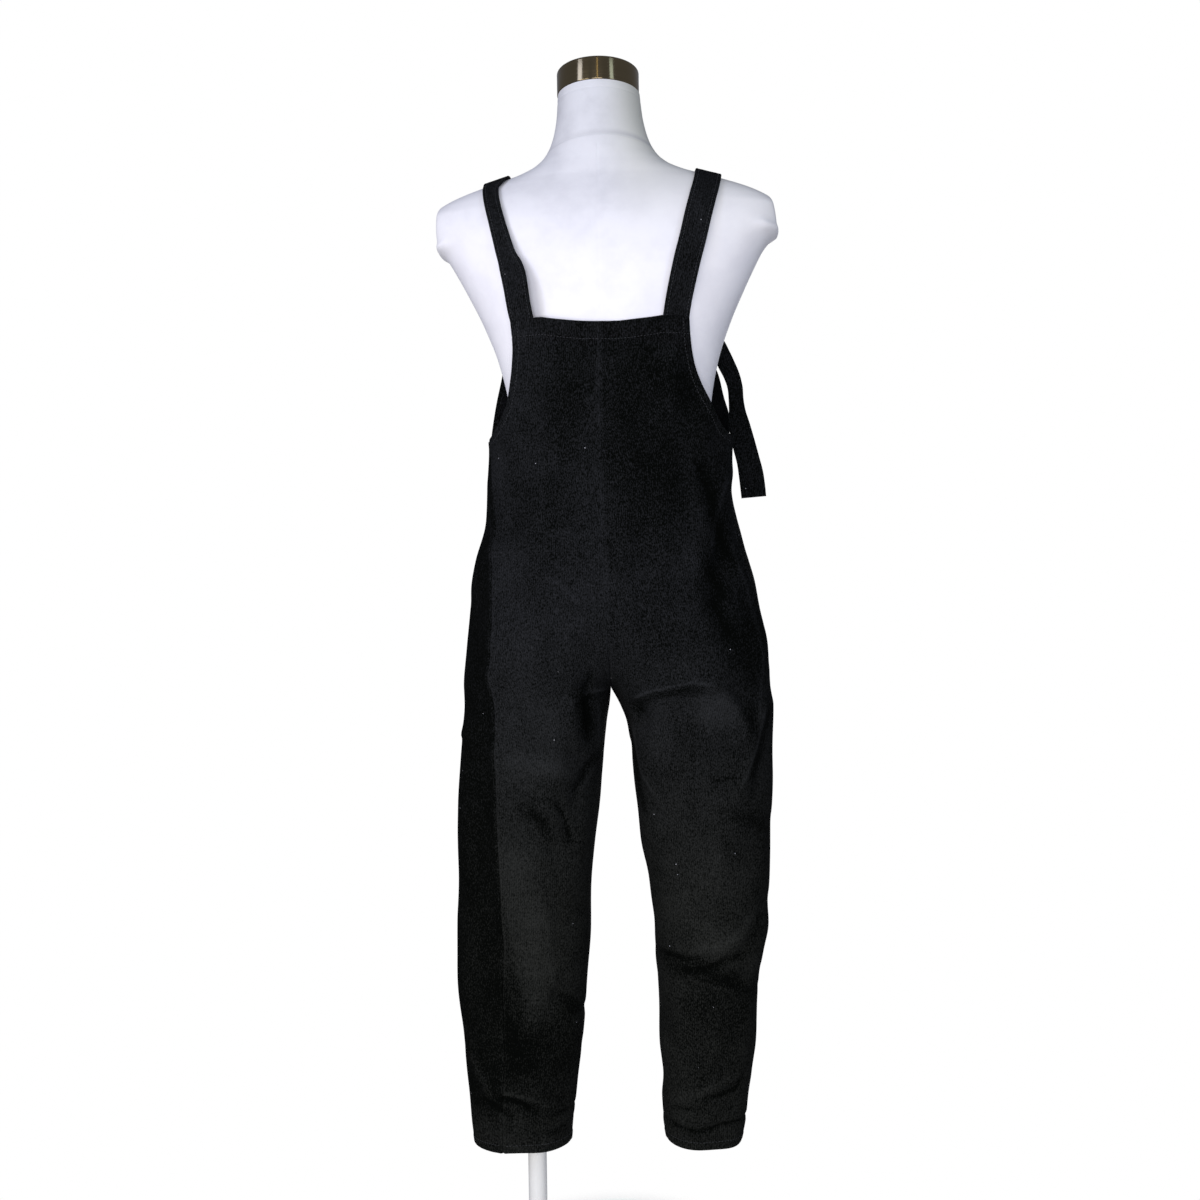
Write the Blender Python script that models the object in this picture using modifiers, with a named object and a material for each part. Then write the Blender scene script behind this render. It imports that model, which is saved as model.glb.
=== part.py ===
"""Bib-and-brace dungarees in fine corduroy, worn by a limbless dress form on a pole and a round base.

Metres, +Z up. The dungarees face -Y, so +X is the wearer's left. The origin is on the floor, under the
middle of the base plate. Each piece of cloth is a closed wall: its outer points lie on level sections
of the garment, worked out from the tables below, and its inner points lie one thickness inside them.
"""

from collections import namedtuple
from functools import lru_cache
from math import acos, copysign, cos, exp, pi, radians, sin

import bmesh
import bpy
import numpy as np
from mathutils import Vector
from mathutils.bvhtree import BVHTree

LEFT, RIGHT = 1, -1
BACK, FRONT = 1, -1
HANDS = {LEFT: "left", RIGHT: "right"}

# Cloth
CLOTH = 0.0018  # corduroy wall
SEAM_GAP = 0.0003  # between two pieces that are sewn or stand together
EASE = 0.0022  # least room between the cloth and the form
DEEPEST = 0.05  # cloth that starts further inside the form than this isn't on it

# Levels of the garment above the floor
HEM_Z = 0.195
CROTCH_Z = 0.806
ARMHOLE_Z = 1.138
TOP_Z = {BACK: 1.2875, FRONT: 1.345}
TOP_DIP = 0.008  # the bib's top edge sags this much at its middle
DIP_HALF = 0.077  # half the length that sags, between the straps

# How finely each panel is divided
COLUMNS = 11
BIB_ROWS = 9
BODY_ROWS = 13
LEG_ROWS = 22
TURN_REACH = 0.12  # how far above and below the crotch a panel's columns bend to follow it


def table(names, *rows):
    """Columns by name, from rows that start at the lowest level."""
    return dict(zip(names.split(), np.array(rows).T))


# The body of the garment. left and right: reach of the sides from x = 0. back and front: depth from y = 0.
# join: how far each half, carried round as its leg would be, passes the centre seam: 0 at the crotch,
# where it only touches it, and 1 where both halves share one middle. crest: where a half is fullest, as a
# share of the way from the centre seam to its side. power: 2 is an ellipse, more is boxier.
BODY = table(
    "z      seam    left   right  back   front  join  crest power",
    (0.806, -0.005, 0.194, 0.220, 0.104, 0.104, 0.00, 0.50, 2.15),
    (0.812, -0.005, 0.194, 0.220, 0.105, 0.105, 0.03, 0.50, 2.15),
    (0.825, -0.004, 0.193, 0.220, 0.1075, 0.107, 0.12, 0.50, 2.15),
    (0.845, -0.003, 0.191, 0.218, 0.1115, 0.110, 0.27, 0.48, 2.15),
    (0.870, -0.002, 0.189, 0.215, 0.116, 0.113, 0.47, 0.43, 2.20),
    (0.900, -0.001, 0.186, 0.210, 0.119, 0.115, 0.72, 0.33, 2.20),
    (0.940, 0.000, 0.182, 0.202, 0.118, 0.116, 0.94, 0.18, 2.25),
    (0.980, 0.001, 0.176, 0.191, 0.115, 0.116, 1.00, 0.07, 2.25),
    (1.035, 0.003, 0.160, 0.178, 0.109, 0.115, 1.00, 0.00, 2.30),
    (1.090, 0.003, 0.156, 0.171, 0.105, 0.116, 1.00, 0.00, 2.35),
    (1.138, 0.003, 0.156, 0.174, 0.103, 0.118, 1.00, 0.00, 2.40),
    (1.170, 0.003, 0.159, 0.179, 0.103, 0.120, 1.00, 0.00, 2.40),
    (1.205, 0.003, 0.157, 0.176, 0.104, 0.121, 1.00, 0.00, 2.40),
    (1.240, 0.003, 0.156, 0.172, 0.105, 0.123, 1.00, 0.00, 2.40),
    (1.290, 0.003, 0.168, 0.174, 0.106, 0.124, 1.00, 0.00, 2.40),
    (1.360, 0.003, 0.190, 0.192, 0.104, 0.121, 1.00, 0.00, 2.40),
)

# The legs. Both hang slightly open, and the wearer's left leg ends the wider.
LEGS = table(
    "z      left_outer left_inner right_outer right_inner back front power",
    (0.195, 0.191, 0.057, 0.174, 0.069, 0.044, 0.046, 2.1),
    (0.218, 0.193, 0.056, 0.178, 0.066, 0.047, 0.049, 2.1),
    (0.272, 0.197, 0.050, 0.182, 0.068, 0.053, 0.054, 2.1),
    (0.327, 0.201, 0.042, 0.192, 0.065, 0.060, 0.060, 2.1),
    (0.381, 0.206, 0.037, 0.198, 0.064, 0.066, 0.065, 2.1),
    (0.435, 0.209, 0.033, 0.205, 0.063, 0.071, 0.069, 2.1),
    (0.490, 0.208, 0.029, 0.212, 0.061, 0.075, 0.073, 2.1),
    (0.544, 0.206, 0.025, 0.217, 0.054, 0.079, 0.077, 2.1),
    (0.599, 0.204, 0.019, 0.219, 0.044, 0.083, 0.081, 2.1),
    (0.653, 0.203, 0.012, 0.2215, 0.038, 0.087, 0.085, 2.1),
    (0.707, 0.199, 0.007, 0.221, 0.032, 0.092, 0.090, 2.1),
    (0.762, 0.196, 0.001, 0.222, 0.025, 0.097, 0.097, 2.15),
    (0.788, 0.194, -0.003, 0.221, 0.015, 0.101, 0.101, 2.15),
    (0.806, 0.194, -0.005, 0.220, 0.005, 0.104, 0.104, 2.15),
)

# Where the side seams run: degrees from straight sideways towards the back. The left leg hangs twisted, so that
# its wide front piece comes round to the back.
SIDE_SEAMS = table(
    "z      left right",
    (0.195, 71, 10),
    (0.350, 76, 12),
    (0.483, 78, 14),
    (0.537, 75, 15),
    (0.668, 68, 16),
    (0.798, 61, 18),
    (0.875, 54, 22),
    (0.935, 45, 25),
    (0.993, 37, 22),
    (1.073, 23, 12),
    (1.138, 14, 8),
)

# The armhole edges of the back and the front bib: distance from x = 0 at each height.
ARMHOLES = {
    BACK: table(
        "z      left   right",
        (1.138, 0.156, 0.174),
        (1.146, 0.146, 0.163),
        (1.160, 0.135, 0.152),
        (1.183, 0.125, 0.138),
        (1.207, 0.121, 0.127),
        (1.232, 0.118, 0.119),
        (1.256, 0.1165, 0.115),
        (1.2875, 0.1185, 0.113),
    ),
    FRONT: table(
        "z      left   right",
        (1.138, 0.156, 0.174),
        (1.170, 0.150, 0.1775),
        (1.205, 0.145, 0.170),
        (1.240, 0.138, 0.162),
        (1.290, 0.128, 0.140),
        (1.345, 0.121, 0.122),
    ),
}

# The largest folds: soft ridges (+) and troughs (-) pushed out of one face along a line. side 0 is both halves.
FOLD_FADE = 0.030  # a fold keeps its full height from this far off the centre seam
FACE_BLEND = 0.050  # depth over which a fold of one face dies out at the side
Fold = namedtuple("Fold", "side face x0 z0 x1 z1 width height")
FOLDS = (
    Fold(LEFT, BACK, 0.145, 1.080, 0.142, 0.990, 0.016, 0.003),
    Fold(LEFT, BACK, 0.142, 0.990, 0.146, 0.830, 0.018, 0.006),
    Fold(LEFT, BACK, 0.146, 0.830, 0.139, 0.500, 0.018, 0.006),
    Fold(LEFT, BACK, 0.174, 0.920, 0.176, 0.560, 0.018, -0.005),
    Fold(RIGHT, BACK, -0.159, 1.089, -0.128, 0.974, 0.020, 0.005),
    Fold(RIGHT, BACK, -0.044, 0.802, -0.150, 0.808, 0.020, 0.006),
    Fold(RIGHT, BACK, -0.040, 0.760, -0.150, 0.770, 0.022, -0.005),
    Fold(RIGHT, BACK, -0.202, 0.778, -0.160, 0.670, 0.022, 0.005),
    Fold(LEFT, BACK, 0.110, 0.790, 0.020, 0.690, 0.022, -0.006),
    Fold(LEFT, BACK, 0.130, 0.725, 0.040, 0.640, 0.022, 0.005),
    Fold(LEFT, BACK, 0.100, 0.520, 0.050, 0.400, 0.024, -0.005),
    Fold(RIGHT, BACK, -0.080, 0.460, -0.190, 0.470, 0.018, 0.006),
    Fold(RIGHT, BACK, -0.090, 0.430, -0.190, 0.440, 0.016, -0.005),
    Fold(LEFT, BACK, 0.160, 0.275, 0.080, 0.245, 0.016, 0.005),
    Fold(RIGHT, BACK, -0.080, 0.262, -0.165, 0.285, 0.016, 0.005),
    Fold(LEFT, FRONT, 0.020, 0.820, 0.150, 0.900, 0.024, 0.006),
    Fold(RIGHT, FRONT, -0.020, 0.820, -0.160, 0.890, 0.024, 0.006),
    Fold(LEFT, FRONT, 0.030, 0.760, 0.170, 0.800, 0.022, -0.005),
    Fold(RIGHT, FRONT, -0.040, 0.760, -0.180, 0.810, 0.022, -0.005),
    Fold(LEFT, FRONT, 0.060, 0.470, 0.180, 0.500, 0.022, 0.006),
    Fold(RIGHT, FRONT, -0.080, 0.440, -0.190, 0.480, 0.022, 0.006),
    Fold(LEFT, FRONT, 0.140, 1.100, 0.100, 0.960, 0.022, 0.005),
    Fold(RIGHT, FRONT, -0.150, 1.100, -0.110, 0.950, 0.022, 0.005),
    Fold(LEFT, FRONT, 0.080, 0.260, 0.170, 0.280, 0.016, 0.005),
    Fold(RIGHT, FRONT, -0.080, 0.250, -0.160, 0.270, 0.016, 0.005),
)

# Straps: a folded band, tied in a knot at each corner of the front bib, with its free end hanging.
STRAP_WIDTH = 0.035
STRAP_REACH = {LEFT: 0.0315, RIGHT: 0.0345}  # how far each runs along the back bib's edge, seen from behind
STRAP_THICK = 0.0026
STRAP_ROOM = 0.0024  # least room between a band and the form
STRAP_STATIONS = 33
STRAP_LEAVES_BIB = (1.0, 0.7, 0.35, 0.1)  # how far each first row still follows the bib
BAND_COLUMNS = 5
KNOT_SIZE = (0.021, 0.012, 0.017)  # half sizes
KNOT_PULLED_IN = 0.0076  # how far the strap draws it back round the bib's corner
KNOT_Z = 1.334
TAIL_STATIONS = 17

# Middle lines of the straps, from the back bib's corner over the shoulder to the knot, each with the share of
# the strap's width that lies open: on the left its inner edge has folded under on the way up.
STRAPS = {
    LEFT: (
        (0.0995, 0.104, 1.2890, 1.00),
        (0.1057, 0.098, 1.3097, 1.00),
        (0.1102, 0.093, 1.3305, 1.00),
        (0.1149, 0.087, 1.3512, 0.98),
        (0.1190, 0.085, 1.3621, 0.84),
        (0.1236, 0.081, 1.3763, 0.75),
        (0.1281, 0.077, 1.3930, 0.70),
        (0.1318, 0.0735, 1.4072, 0.66),
        (0.1352, 0.071, 1.4210, 0.63),
        (0.1389, 0.066, 1.4360, 0.61),
        (0.1428, 0.0555, 1.4550, 0.61),
        (0.1445, 0.042, 1.4730, 0.66),
        (0.1415, 0.031, 1.4835, 0.84),
        (0.1385, 0.018, 1.4905, 1.00),
        (0.1375, 0.000, 1.4955, 1.00),
        (0.1360, -0.016, 1.4957, 1.00),
        (0.1335, -0.036, 1.4900, 1.00),
        (0.1305, -0.058, 1.4680, 1.00),
        (0.1275, -0.078, 1.4300, 1.00),
        (0.1240, -0.098, 1.3880, 1.00),
        (0.1212, -0.1085, 1.3660, 0.90),
        (0.1200, -0.1150, 1.3516, 0.55),
    ),
    RIGHT: (
        (-0.0950, 0.104, 1.2890, 1.00),
        (-0.0984, 0.1025, 1.3065, 1.00),
        (-0.1048, 0.1025, 1.3334, 1.00),
        (-0.1114, 0.1015, 1.3609, 1.00),
        (-0.1189, 0.0990, 1.3887, 1.00),
        (-0.1256, 0.0950, 1.4164, 1.00),
        (-0.1336, 0.0850, 1.4465, 1.00),
        (-0.1386, 0.0735, 1.4640, 1.00),
        (-0.1433, 0.0520, 1.4835, 1.00),
        (-0.1455, 0.014, 1.4965, 1.00),
        (-0.1450, -0.010, 1.4985, 1.00),
        (-0.1405, -0.035, 1.4905, 1.00),
        (-0.1360, -0.058, 1.4680, 1.00),
        (-0.1310, -0.080, 1.4300, 1.00),
        (-0.1250, -0.100, 1.3920, 1.00),
        (-0.1220, -0.1080, 1.3660, 0.90),
        (-0.1210, -0.1142, 1.3516, 0.55),
    ),
}
# Middle lines of the free ends, from the knot down, with the same share.
TAILS = {
    LEFT: (
        (0.1240, -0.1190, 1.3170, 0.42),
        (0.1310, -0.128, 1.285, 0.60),
        (0.1350, -0.127, 1.250, 0.74),
        (0.1410, -0.126, 1.210, 0.90),
        (0.1465, -0.125, 1.165, 1.00),
        (0.1500, -0.125, 1.120, 1.00),
        (0.1510, -0.124, 1.078, 1.00),
    ),
    RIGHT: (
        (-0.1402, -0.1188, 1.3267, 0.42),
        (-0.1560, -0.128, 1.3110, 0.60),
        (-0.1668, -0.127, 1.2987, 0.70),
        (-0.1750, -0.124, 1.2815, 0.72),
        (-0.1845, -0.118, 1.2580, 0.70),
        (-0.1918, -0.1125, 1.2360, 0.64),
        (-0.1938, -0.107, 1.2034, 0.64),
        (-0.1966, -0.103, 1.1766, 0.86),
        (-0.2024, -0.099, 1.1470, 0.95),
        (-0.2073, -0.097, 1.1265, 0.95),
        (-0.2118, -0.093, 1.1000, 1.02),
        (-0.2145, -0.090, 1.0690, 1.02),
    ),
}

# The dress form: level sections. It leans a little to its left and is turned a little on its pole.
FORM = table(
    "z      half   back   front  power",
    (0.850, 0.134, 0.076, 0.074, 2.3),
    (0.853, 0.146, 0.086, 0.083, 2.3),
    (0.862, 0.155, 0.095, 0.091, 2.3),
    (0.885, 0.161, 0.101, 0.095, 2.3),
    (0.930, 0.162, 0.105, 0.098, 2.3),
    (1.000, 0.148, 0.097, 0.098, 2.3),
    (1.080, 0.133, 0.084, 0.095, 2.3),
    (1.140, 0.132, 0.083, 0.098, 2.3),
    (1.200, 0.139, 0.088, 0.105, 2.3),
    (1.250, 0.150, 0.093, 0.111, 2.3),
    (1.300, 0.168, 0.096, 0.113, 2.35),
    (1.347, 0.190, 0.096, 0.108, 2.4),
    (1.374, 0.204, 0.094, 0.100, 2.4),
    (1.390, 0.213, 0.091, 0.093, 2.4),
    (1.405, 0.224, 0.088, 0.084, 2.4),
    (1.425, 0.236, 0.083, 0.074, 2.4),
    (1.443, 0.240, 0.076, 0.066, 2.4),
    (1.456, 0.228, 0.070, 0.060, 2.4),
    (1.468, 0.208, 0.064, 0.055, 2.35),
    (1.480, 0.178, 0.058, 0.052, 2.3),
    (1.490, 0.148, 0.054, 0.052, 2.2),
    (1.500, 0.118, 0.052, 0.054, 2.15),
    (1.512, 0.094, 0.050, 0.057, 2.1),
    (1.527, 0.078, 0.049, 0.060, 2.0),
    (1.545, 0.068, 0.048, 0.063, 2.0),
    (1.565, 0.062, 0.047, 0.065, 2.0),
    (1.585, 0.0585, 0.0465, 0.066, 2.0),
    (1.6135, 0.056, 0.046, 0.066, 2.0),
)
FORM_RINGS = 38
FORM_SEGMENTS = 32
FORM_LEAN = 0.022  # sideways per unit of height, below the top of the neck
FORM_YAW = radians(-5)
# The flat faces in which the shoulders end: how far out each is at the level given, and how much further
# out for each metre below it.
SHOULDER_LEVEL = 1.420
SHOULDER_FACES = {LEFT: (0.2245, 0.10), RIGHT: (0.2345, 0.21)}

# Neck cap, pole, collar and base plate
NECK_CENTRE_Y = -0.010
CAP_RADIUS = 0.056
CAP_HEIGHT = 0.0315
CAP_ROUND = 0.0025
POLE_X = 0.105
POLE_RADIUS = 0.0125
COLLAR_RADIUS = 0.024
COLLAR_HEIGHT = 0.030
BASE_RADIUS = 0.170
BASE_THICK = 0.008
BASE_ROUND = 0.003
TURNED_STEPS = 48


# ---------------------------------------------------------------------------- curves through the tables


def smooth(rows, name, z):
    """A column's value at height z, on a curve through the rows that never swings past them."""
    levels, values = rows["z"], rows[name]
    z = min(max(z, levels[0]), levels[-1])
    steps = np.diff(values) / np.diff(levels)
    slopes = np.zeros(len(levels))
    slopes[0], slopes[-1] = steps[0], steps[-1]
    for row, (below, above) in enumerate(zip(steps, steps[1:]), start=1):
        if below * above > 0:
            slopes[row] = 2 * below * above / (below + above)
    row = int(np.clip(np.searchsorted(levels, z) - 1, 0, len(levels) - 2))
    span = levels[row + 1] - levels[row]
    t = (z - levels[row]) / span
    ends = values[row] + (values[row + 1] - values[row]) * t * t * (3 - 2 * t)
    return ends + span * t * (1 - t) * (slopes[row] * (1 - t) - slopes[row + 1] * t)


def power_of(value, power):
    """A cosine or sine bent from an ellipse's to that of a boxier oval."""
    return copysign(abs(value) ** (2 / power), value)


def through(points, count):
    """count points, evenly spaced by length, on one smooth curve through the given points."""
    points = np.array(points, float)
    padded = np.vstack([2 * points[0] - points[1], points, 2 * points[-1] - points[-2]])
    fine = []
    for p0, p1, p2, p3 in zip(padded, padded[1:], padded[2:], padded[3:]):
        for t in np.linspace(0, 1, 12, endpoint=False):
            bend = (2 * p0 - 5 * p1 + 4 * p2 - p3) * t**2 + (3 * p1 - p0 - 3 * p2 + p3) * t**3
            fine.append(p1 + ((p2 - p0) * t + bend) / 2)
    fine = np.array(fine + [points[-1]])
    run = np.append(0, np.cumsum(np.linalg.norm(np.diff(fine[:, :3], axis=0), axis=1)))
    wanted = np.linspace(0, run[-1], count)
    return np.stack([np.interp(wanted, run, column) for column in fine.T], axis=1)


# ---------------------------------------------------------------------------- the garment's surface

Section = namedtuple("Section", "seam crest outwards inwards back front power")


@lru_cache(None)
def section(side, z):
    """One half of the garment cut level at z. outwards and inwards are its reach from its crest."""
    hand = HANDS[side]
    if z > CROTCH_Z:
        rows = BODY
        seam = smooth(BODY, "seam", z)
        outer = smooth(BODY, hand, z) - side * seam
        inner = -smooth(BODY, "join", z) * outer
        crest = smooth(BODY, "crest", z) * outer
    else:
        rows = LEGS
        seam = 0.0
        outer = smooth(LEGS, hand + "_outer", z)
        inner = smooth(LEGS, hand + "_inner", z) + SEAM_GAP
        crest = (outer + inner) / 2
    depths = [smooth(rows, name, z) for name in ("back", "front", "power")]
    return Section(seam, crest, outer - crest, crest - inner, *depths)


def wall_point(side, angle, z):
    """Outer face of one half: angle 0 is its outer side, pi / 2 its back and pi its inner side."""
    cut = section(side, z)
    depth = cut.back if angle > 0 else cut.front
    reach = cut.outwards if cos(angle) > 0 else cut.inwards
    across = cut.crest + reach * power_of(cos(angle), cut.power)
    return Vector((cut.seam + side * across, depth * power_of(sin(angle), cut.power), z))


def wall_normal(side, angle, z):
    """Outward direction of the wall, measured over a small step each way."""
    turn, rise = 0.02, 0.004
    along = wall_point(side, angle + turn, z) - wall_point(side, angle - turn, z)
    up = wall_point(side, angle, z + rise) - wall_point(side, angle, z - rise)
    return side * along.cross(up).normalized()


def angle_at(side, face, z, x):
    """Where on the face the wall passes x."""
    cut = section(side, z)
    across = side * (x - cut.seam) - cut.crest
    reach = cut.outwards if across > 0 else cut.inwards
    share = min(max(across / reach, -1), 1)
    return face * acos(copysign(abs(share) ** (cut.power / 2), share))


def fold_height(side, point):
    """How far the folds push the cloth out at this point. They die away towards the other half."""
    height = 0.0
    seam = section(side, max(point.z, CROTCH_Z + SEAM_GAP)).seam
    held = min(max(side * (point.x - seam) / FOLD_FADE, 0), 1)
    here = np.array((point.x, point.z))
    for fold in FOLDS:
        if fold.side not in (0, side):
            continue
        start = np.array((fold.x0, fold.z0))
        run = np.array((fold.x1, fold.z1)) - start
        share = np.clip((here - start) @ run / (run @ run), 0, 1)
        away = np.linalg.norm(here - start - share * run)
        facing = min(max(0.5 + fold.face * point.y / FACE_BLEND, 0), 1)
        height += fold.height * facing * exp(-((away / fold.width) ** 2))
    return height * held


def panel_rows(face):
    """Levels of a panel from its top edge to its hem, closer together round the armhole and the crotch."""
    bib = [ARMHOLE_Z + (TOP_Z[face] - ARMHOLE_Z) * (k / BIB_ROWS) ** 1.6 for k in range(BIB_ROWS, 0, -1)]
    body = [CROTCH_Z + (ARMHOLE_Z - CROTCH_Z) * (k / BODY_ROWS) ** 1.5 for k in range(BODY_ROWS, -1, -1)]
    leg = [CROTCH_Z + (HEM_Z - CROTCH_Z) * k / LEG_ROWS for k in range(1, LEG_ROWS + 1)]
    return bib + body + leg


def eased(z, low, high):
    """0 at the low level and 1 at the high one, with a soft start and end."""
    share = min(max((z - low) / (high - low), 0), 1)
    return share * share * (3 - 2 * share)


def side_seam(side, z):
    return radians(smooth(SIDE_SEAMS, HANDS[side], z))


def outer_edge(side, face, z):
    """Angle of a panel's outer edge: its side seam, and its armhole above that."""
    seam = side_seam(side, z)
    if z <= ARMHOLE_Z:
        return seam
    angle = angle_at(side, face, z, side * smooth(ARMHOLES[face], HANDS[side], z))
    return max(angle, seam) if face == BACK else min(angle, seam)


def row_angles(side, face, z):
    """Angles of a panel's points on one level, from its centre seam or inseam to its outer edge.

    Only the points next to an edge follow the sharp turns of the crotch and the armhole."""
    if z > CROTCH_Z:
        inner = angle_at(side, face, z, section(side, z).seam + side * SEAM_GAP / 2)
    else:
        inner = face * pi
    outer = outer_edge(side, face, z)
    centre = angle_at(side, face, max(z, CROTCH_Z + TURN_REACH), section(side, CROTCH_Z + TURN_REACH).seam)
    even_inner = face * pi + (centre - face * pi) * eased(z, CROTCH_Z - TURN_REACH, CROTCH_Z + TURN_REACH)
    seam = side_seam(side, z)
    above = outer_edge(side, face, max(z, ARMHOLE_Z + TURN_REACH / 2))
    bend = eased(z, ARMHOLE_Z - TURN_REACH / 2, ARMHOLE_Z + TURN_REACH / 2)
    even_outer = seam + (above - seam) * bend
    angles = []
    for share in np.linspace(0, 1, COLUMNS):
        even = even_inner + (even_outer - even_inner) * share
        angles.append(even + (inner - even_inner) * (1 - share) ** 4 + (outer - even_outer) * share**4)
    return trimmed(side, angles, z)


def trimmed(side, angles, z):
    """The angles with each end drawn in by half a seam's gap, but not where the cut is the centre seam."""
    ends = [(0, 1), (-1, -2)] if z <= CROTCH_Z else [(-1, -2)]
    for end, beside in ends:
        step = (angles[beside] - angles[end]) / 50
        length = (wall_point(side, angles[end] + step, z) - wall_point(side, angles[end], z)).length
        angles[end] += step * SEAM_GAP / 2 / length
    return angles


def clear_of_form(form, point, normal, thickness, room):
    """The outer point, moved out where its inner face would come nearer than room to the form."""
    inside = point - normal * thickness
    nearest, outward, _, _ = form.find_nearest(inside)
    short = room - (inside - nearest).dot(outward)
    return point + outward * short if 0 < short < room + DEEPEST else point


# ---------------------------------------------------------------------------- scene, materials and solids


def clear_scene():
    for obj in list(bpy.data.objects):
        bpy.data.objects.remove(obj, do_unlink=True)


def material(name, colour, roughness, metallic=0.0):
    made = bpy.data.materials.new(name)
    made.use_nodes = True
    surface = made.node_tree.nodes["Principled BSDF"]
    surface.inputs["Base Color"].default_value = (*colour, 1)
    surface.inputs["Roughness"].default_value = roughness
    surface.inputs["Metallic"].default_value = metallic
    return made


def solid(name, mesh, finish, collection):
    """An object in the collection, from a bmesh, with its faces turned outwards and shaded smooth."""
    bmesh.ops.recalc_face_normals(mesh, faces=mesh.faces)
    data = bpy.data.meshes.new(name)
    mesh.to_mesh(data)
    mesh.free()
    data.shade_smooth()
    data.set_sharp_from_angle(angle=radians(40))
    data.materials.append(finish)
    obj = bpy.data.objects.new(name, data)
    collection.objects.link(obj)
    return obj


def wall(name, outer, normals, thickness, finish, collection):
    """A closed sheet from a grid of outer points: the same grid inside it, and a rim round both."""
    rows, columns = len(outer), len(outer[0])
    mesh = bmesh.new()
    skins = []
    for depth in (0, thickness):
        skins.append(
            [[mesh.verts.new(p - n * depth) for p, n in zip(*row)] for row in zip(outer, normals)]
        )
    for skin in skins:
        for above, below in zip(skin, skin[1:]):
            for c in range(columns - 1):
                mesh.faces.new((above[c], above[c + 1], below[c + 1], below[c]))
    edge = [(0, c) for c in range(columns)]
    edge += [(r, columns - 1) for r in range(1, rows)]
    edge += [(rows - 1, c) for c in range(columns - 2, -1, -1)]
    edge += [(r, 0) for r in range(rows - 2, -1, -1)]
    for (r0, c0), (r1, c1) in zip(edge, edge[1:]):
        mesh.faces.new((skins[0][r0][c0], skins[0][r1][c1], skins[1][r1][c1], skins[1][r0][c0]))
    return solid(name, mesh, finish, collection)


def turned(name, profile, place, finish, collection):
    """A round piece from a profile of (radius, height) that starts at its top."""
    mesh = bmesh.new()
    points = [mesh.verts.new((radius, 0, height)) for radius, height in profile]
    for upper, lower in zip(points, points[1:]):
        mesh.edges.new((upper, lower))
    data = bpy.data.meshes.new(name)
    mesh.to_mesh(data)
    mesh.free()
    data.materials.append(finish)
    obj = bpy.data.objects.new(name, data)
    obj.location = place
    collection.objects.link(obj)
    screw = obj.modifiers.new("turn", "SCREW")
    screw.steps = TURNED_STEPS
    screw.render_steps = TURNED_STEPS
    screw.use_merge_vertices = True
    screw.merge_threshold = 0.00001
    return obj


def rounded_disc(radius, height, edge, steps=4):
    """Profile of a disc from the middle of its top to the middle of its underside, its top edge rounded."""
    corner = [
        (radius - edge + edge * sin(a), height - edge + edge * cos(a))
        for a in np.linspace(0, pi / 2, steps + 1)
    ]
    return [(0, height)] + corner + [(radius, 0), (0, 0)]


# ---------------------------------------------------------------------------- the dress form


def form_ring(z):
    """One level section of the form, leaning and turned as it stands on its pole."""
    half, back, front, power = (smooth(FORM, name, z) for name in ("half", "back", "front", "power"))
    ends = {side: out + slant * (SHOULDER_LEVEL - z) for side, (out, slant) in SHOULDER_FACES.items()}
    ring = []
    for k in range(FORM_SEGMENTS):
        angle = 2 * pi * k / FORM_SEGMENTS
        x = half * power_of(cos(angle), power)
        middle, depth = (back - front) / 2, (back + front) / 2
        y = middle + depth * power_of(sin(angle), power)
        x = min(max(x, -ends[RIGHT]), ends[LEFT])
        x, y = x * cos(FORM_YAW) - y * sin(FORM_YAW), x * sin(FORM_YAW) + y * cos(FORM_YAW)
        ring.append((x - FORM_LEAN * (FORM["z"][-1] - z), y, z))
    return ring


def form_levels():
    """Levels of the form's rings: those of its table, with the longest gaps divided until there are enough."""
    levels = list(FORM["z"])
    while len(levels) < FORM_RINGS:
        gaps = np.diff(levels)
        widest = int(np.argmax(gaps))
        levels.insert(widest + 1, levels[widest] + gaps[widest] / 2)
    return levels


def make_form(finish, collection):
    """The torso, one smooth closed body. Returns the tree that finds its nearest surface, too."""
    mesh = bmesh.new()
    rings = [[mesh.verts.new(p) for p in form_ring(z)] for z in form_levels()]
    for below, above in zip(rings, rings[1:]):
        for k in range(FORM_SEGMENTS):
            after = (k + 1) % FORM_SEGMENTS
            mesh.faces.new((below[k], below[after], above[after], above[k]))
    mesh.faces.new(rings[0])
    mesh.faces.new(rings[-1])
    bmesh.ops.recalc_face_normals(mesh, faces=mesh.faces)
    tree = BVHTree.FromBMesh(mesh)
    solid("form_torso", mesh, finish, collection)
    return tree


def make_stand(steel, paint, collection):
    neck_top, torso_foot = FORM["z"][-1], FORM["z"][0]
    cap = rounded_disc(CAP_RADIUS, CAP_HEIGHT, CAP_ROUND)
    turned("neck_cap", cap, (0, NECK_CENTRE_Y, neck_top + SEAM_GAP), steel, collection)
    turned("base_plate", rounded_disc(BASE_RADIUS, BASE_THICK, BASE_ROUND), (0, 0, 0), paint, collection)
    bore = POLE_RADIUS + SEAM_GAP
    collar = [
        (bore, COLLAR_HEIGHT),
        (COLLAR_RADIUS - CAP_ROUND, COLLAR_HEIGHT),
        (COLLAR_RADIUS, COLLAR_HEIGHT - CAP_ROUND),
        (COLLAR_RADIUS, 0),
        (bore, 0),
        (bore, COLLAR_HEIGHT),
    ]
    foot = BASE_THICK + SEAM_GAP
    turned("pole_collar", collar, (POLE_X, 0, foot), paint, collection)
    length = torso_foot - SEAM_GAP - foot
    pole = [(0, length), (POLE_RADIUS, length), (POLE_RADIUS, 0), (0, 0)]
    turned("pole", pole, (POLE_X, 0, foot), paint, collection)


# ---------------------------------------------------------------------------- the cloth


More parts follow.
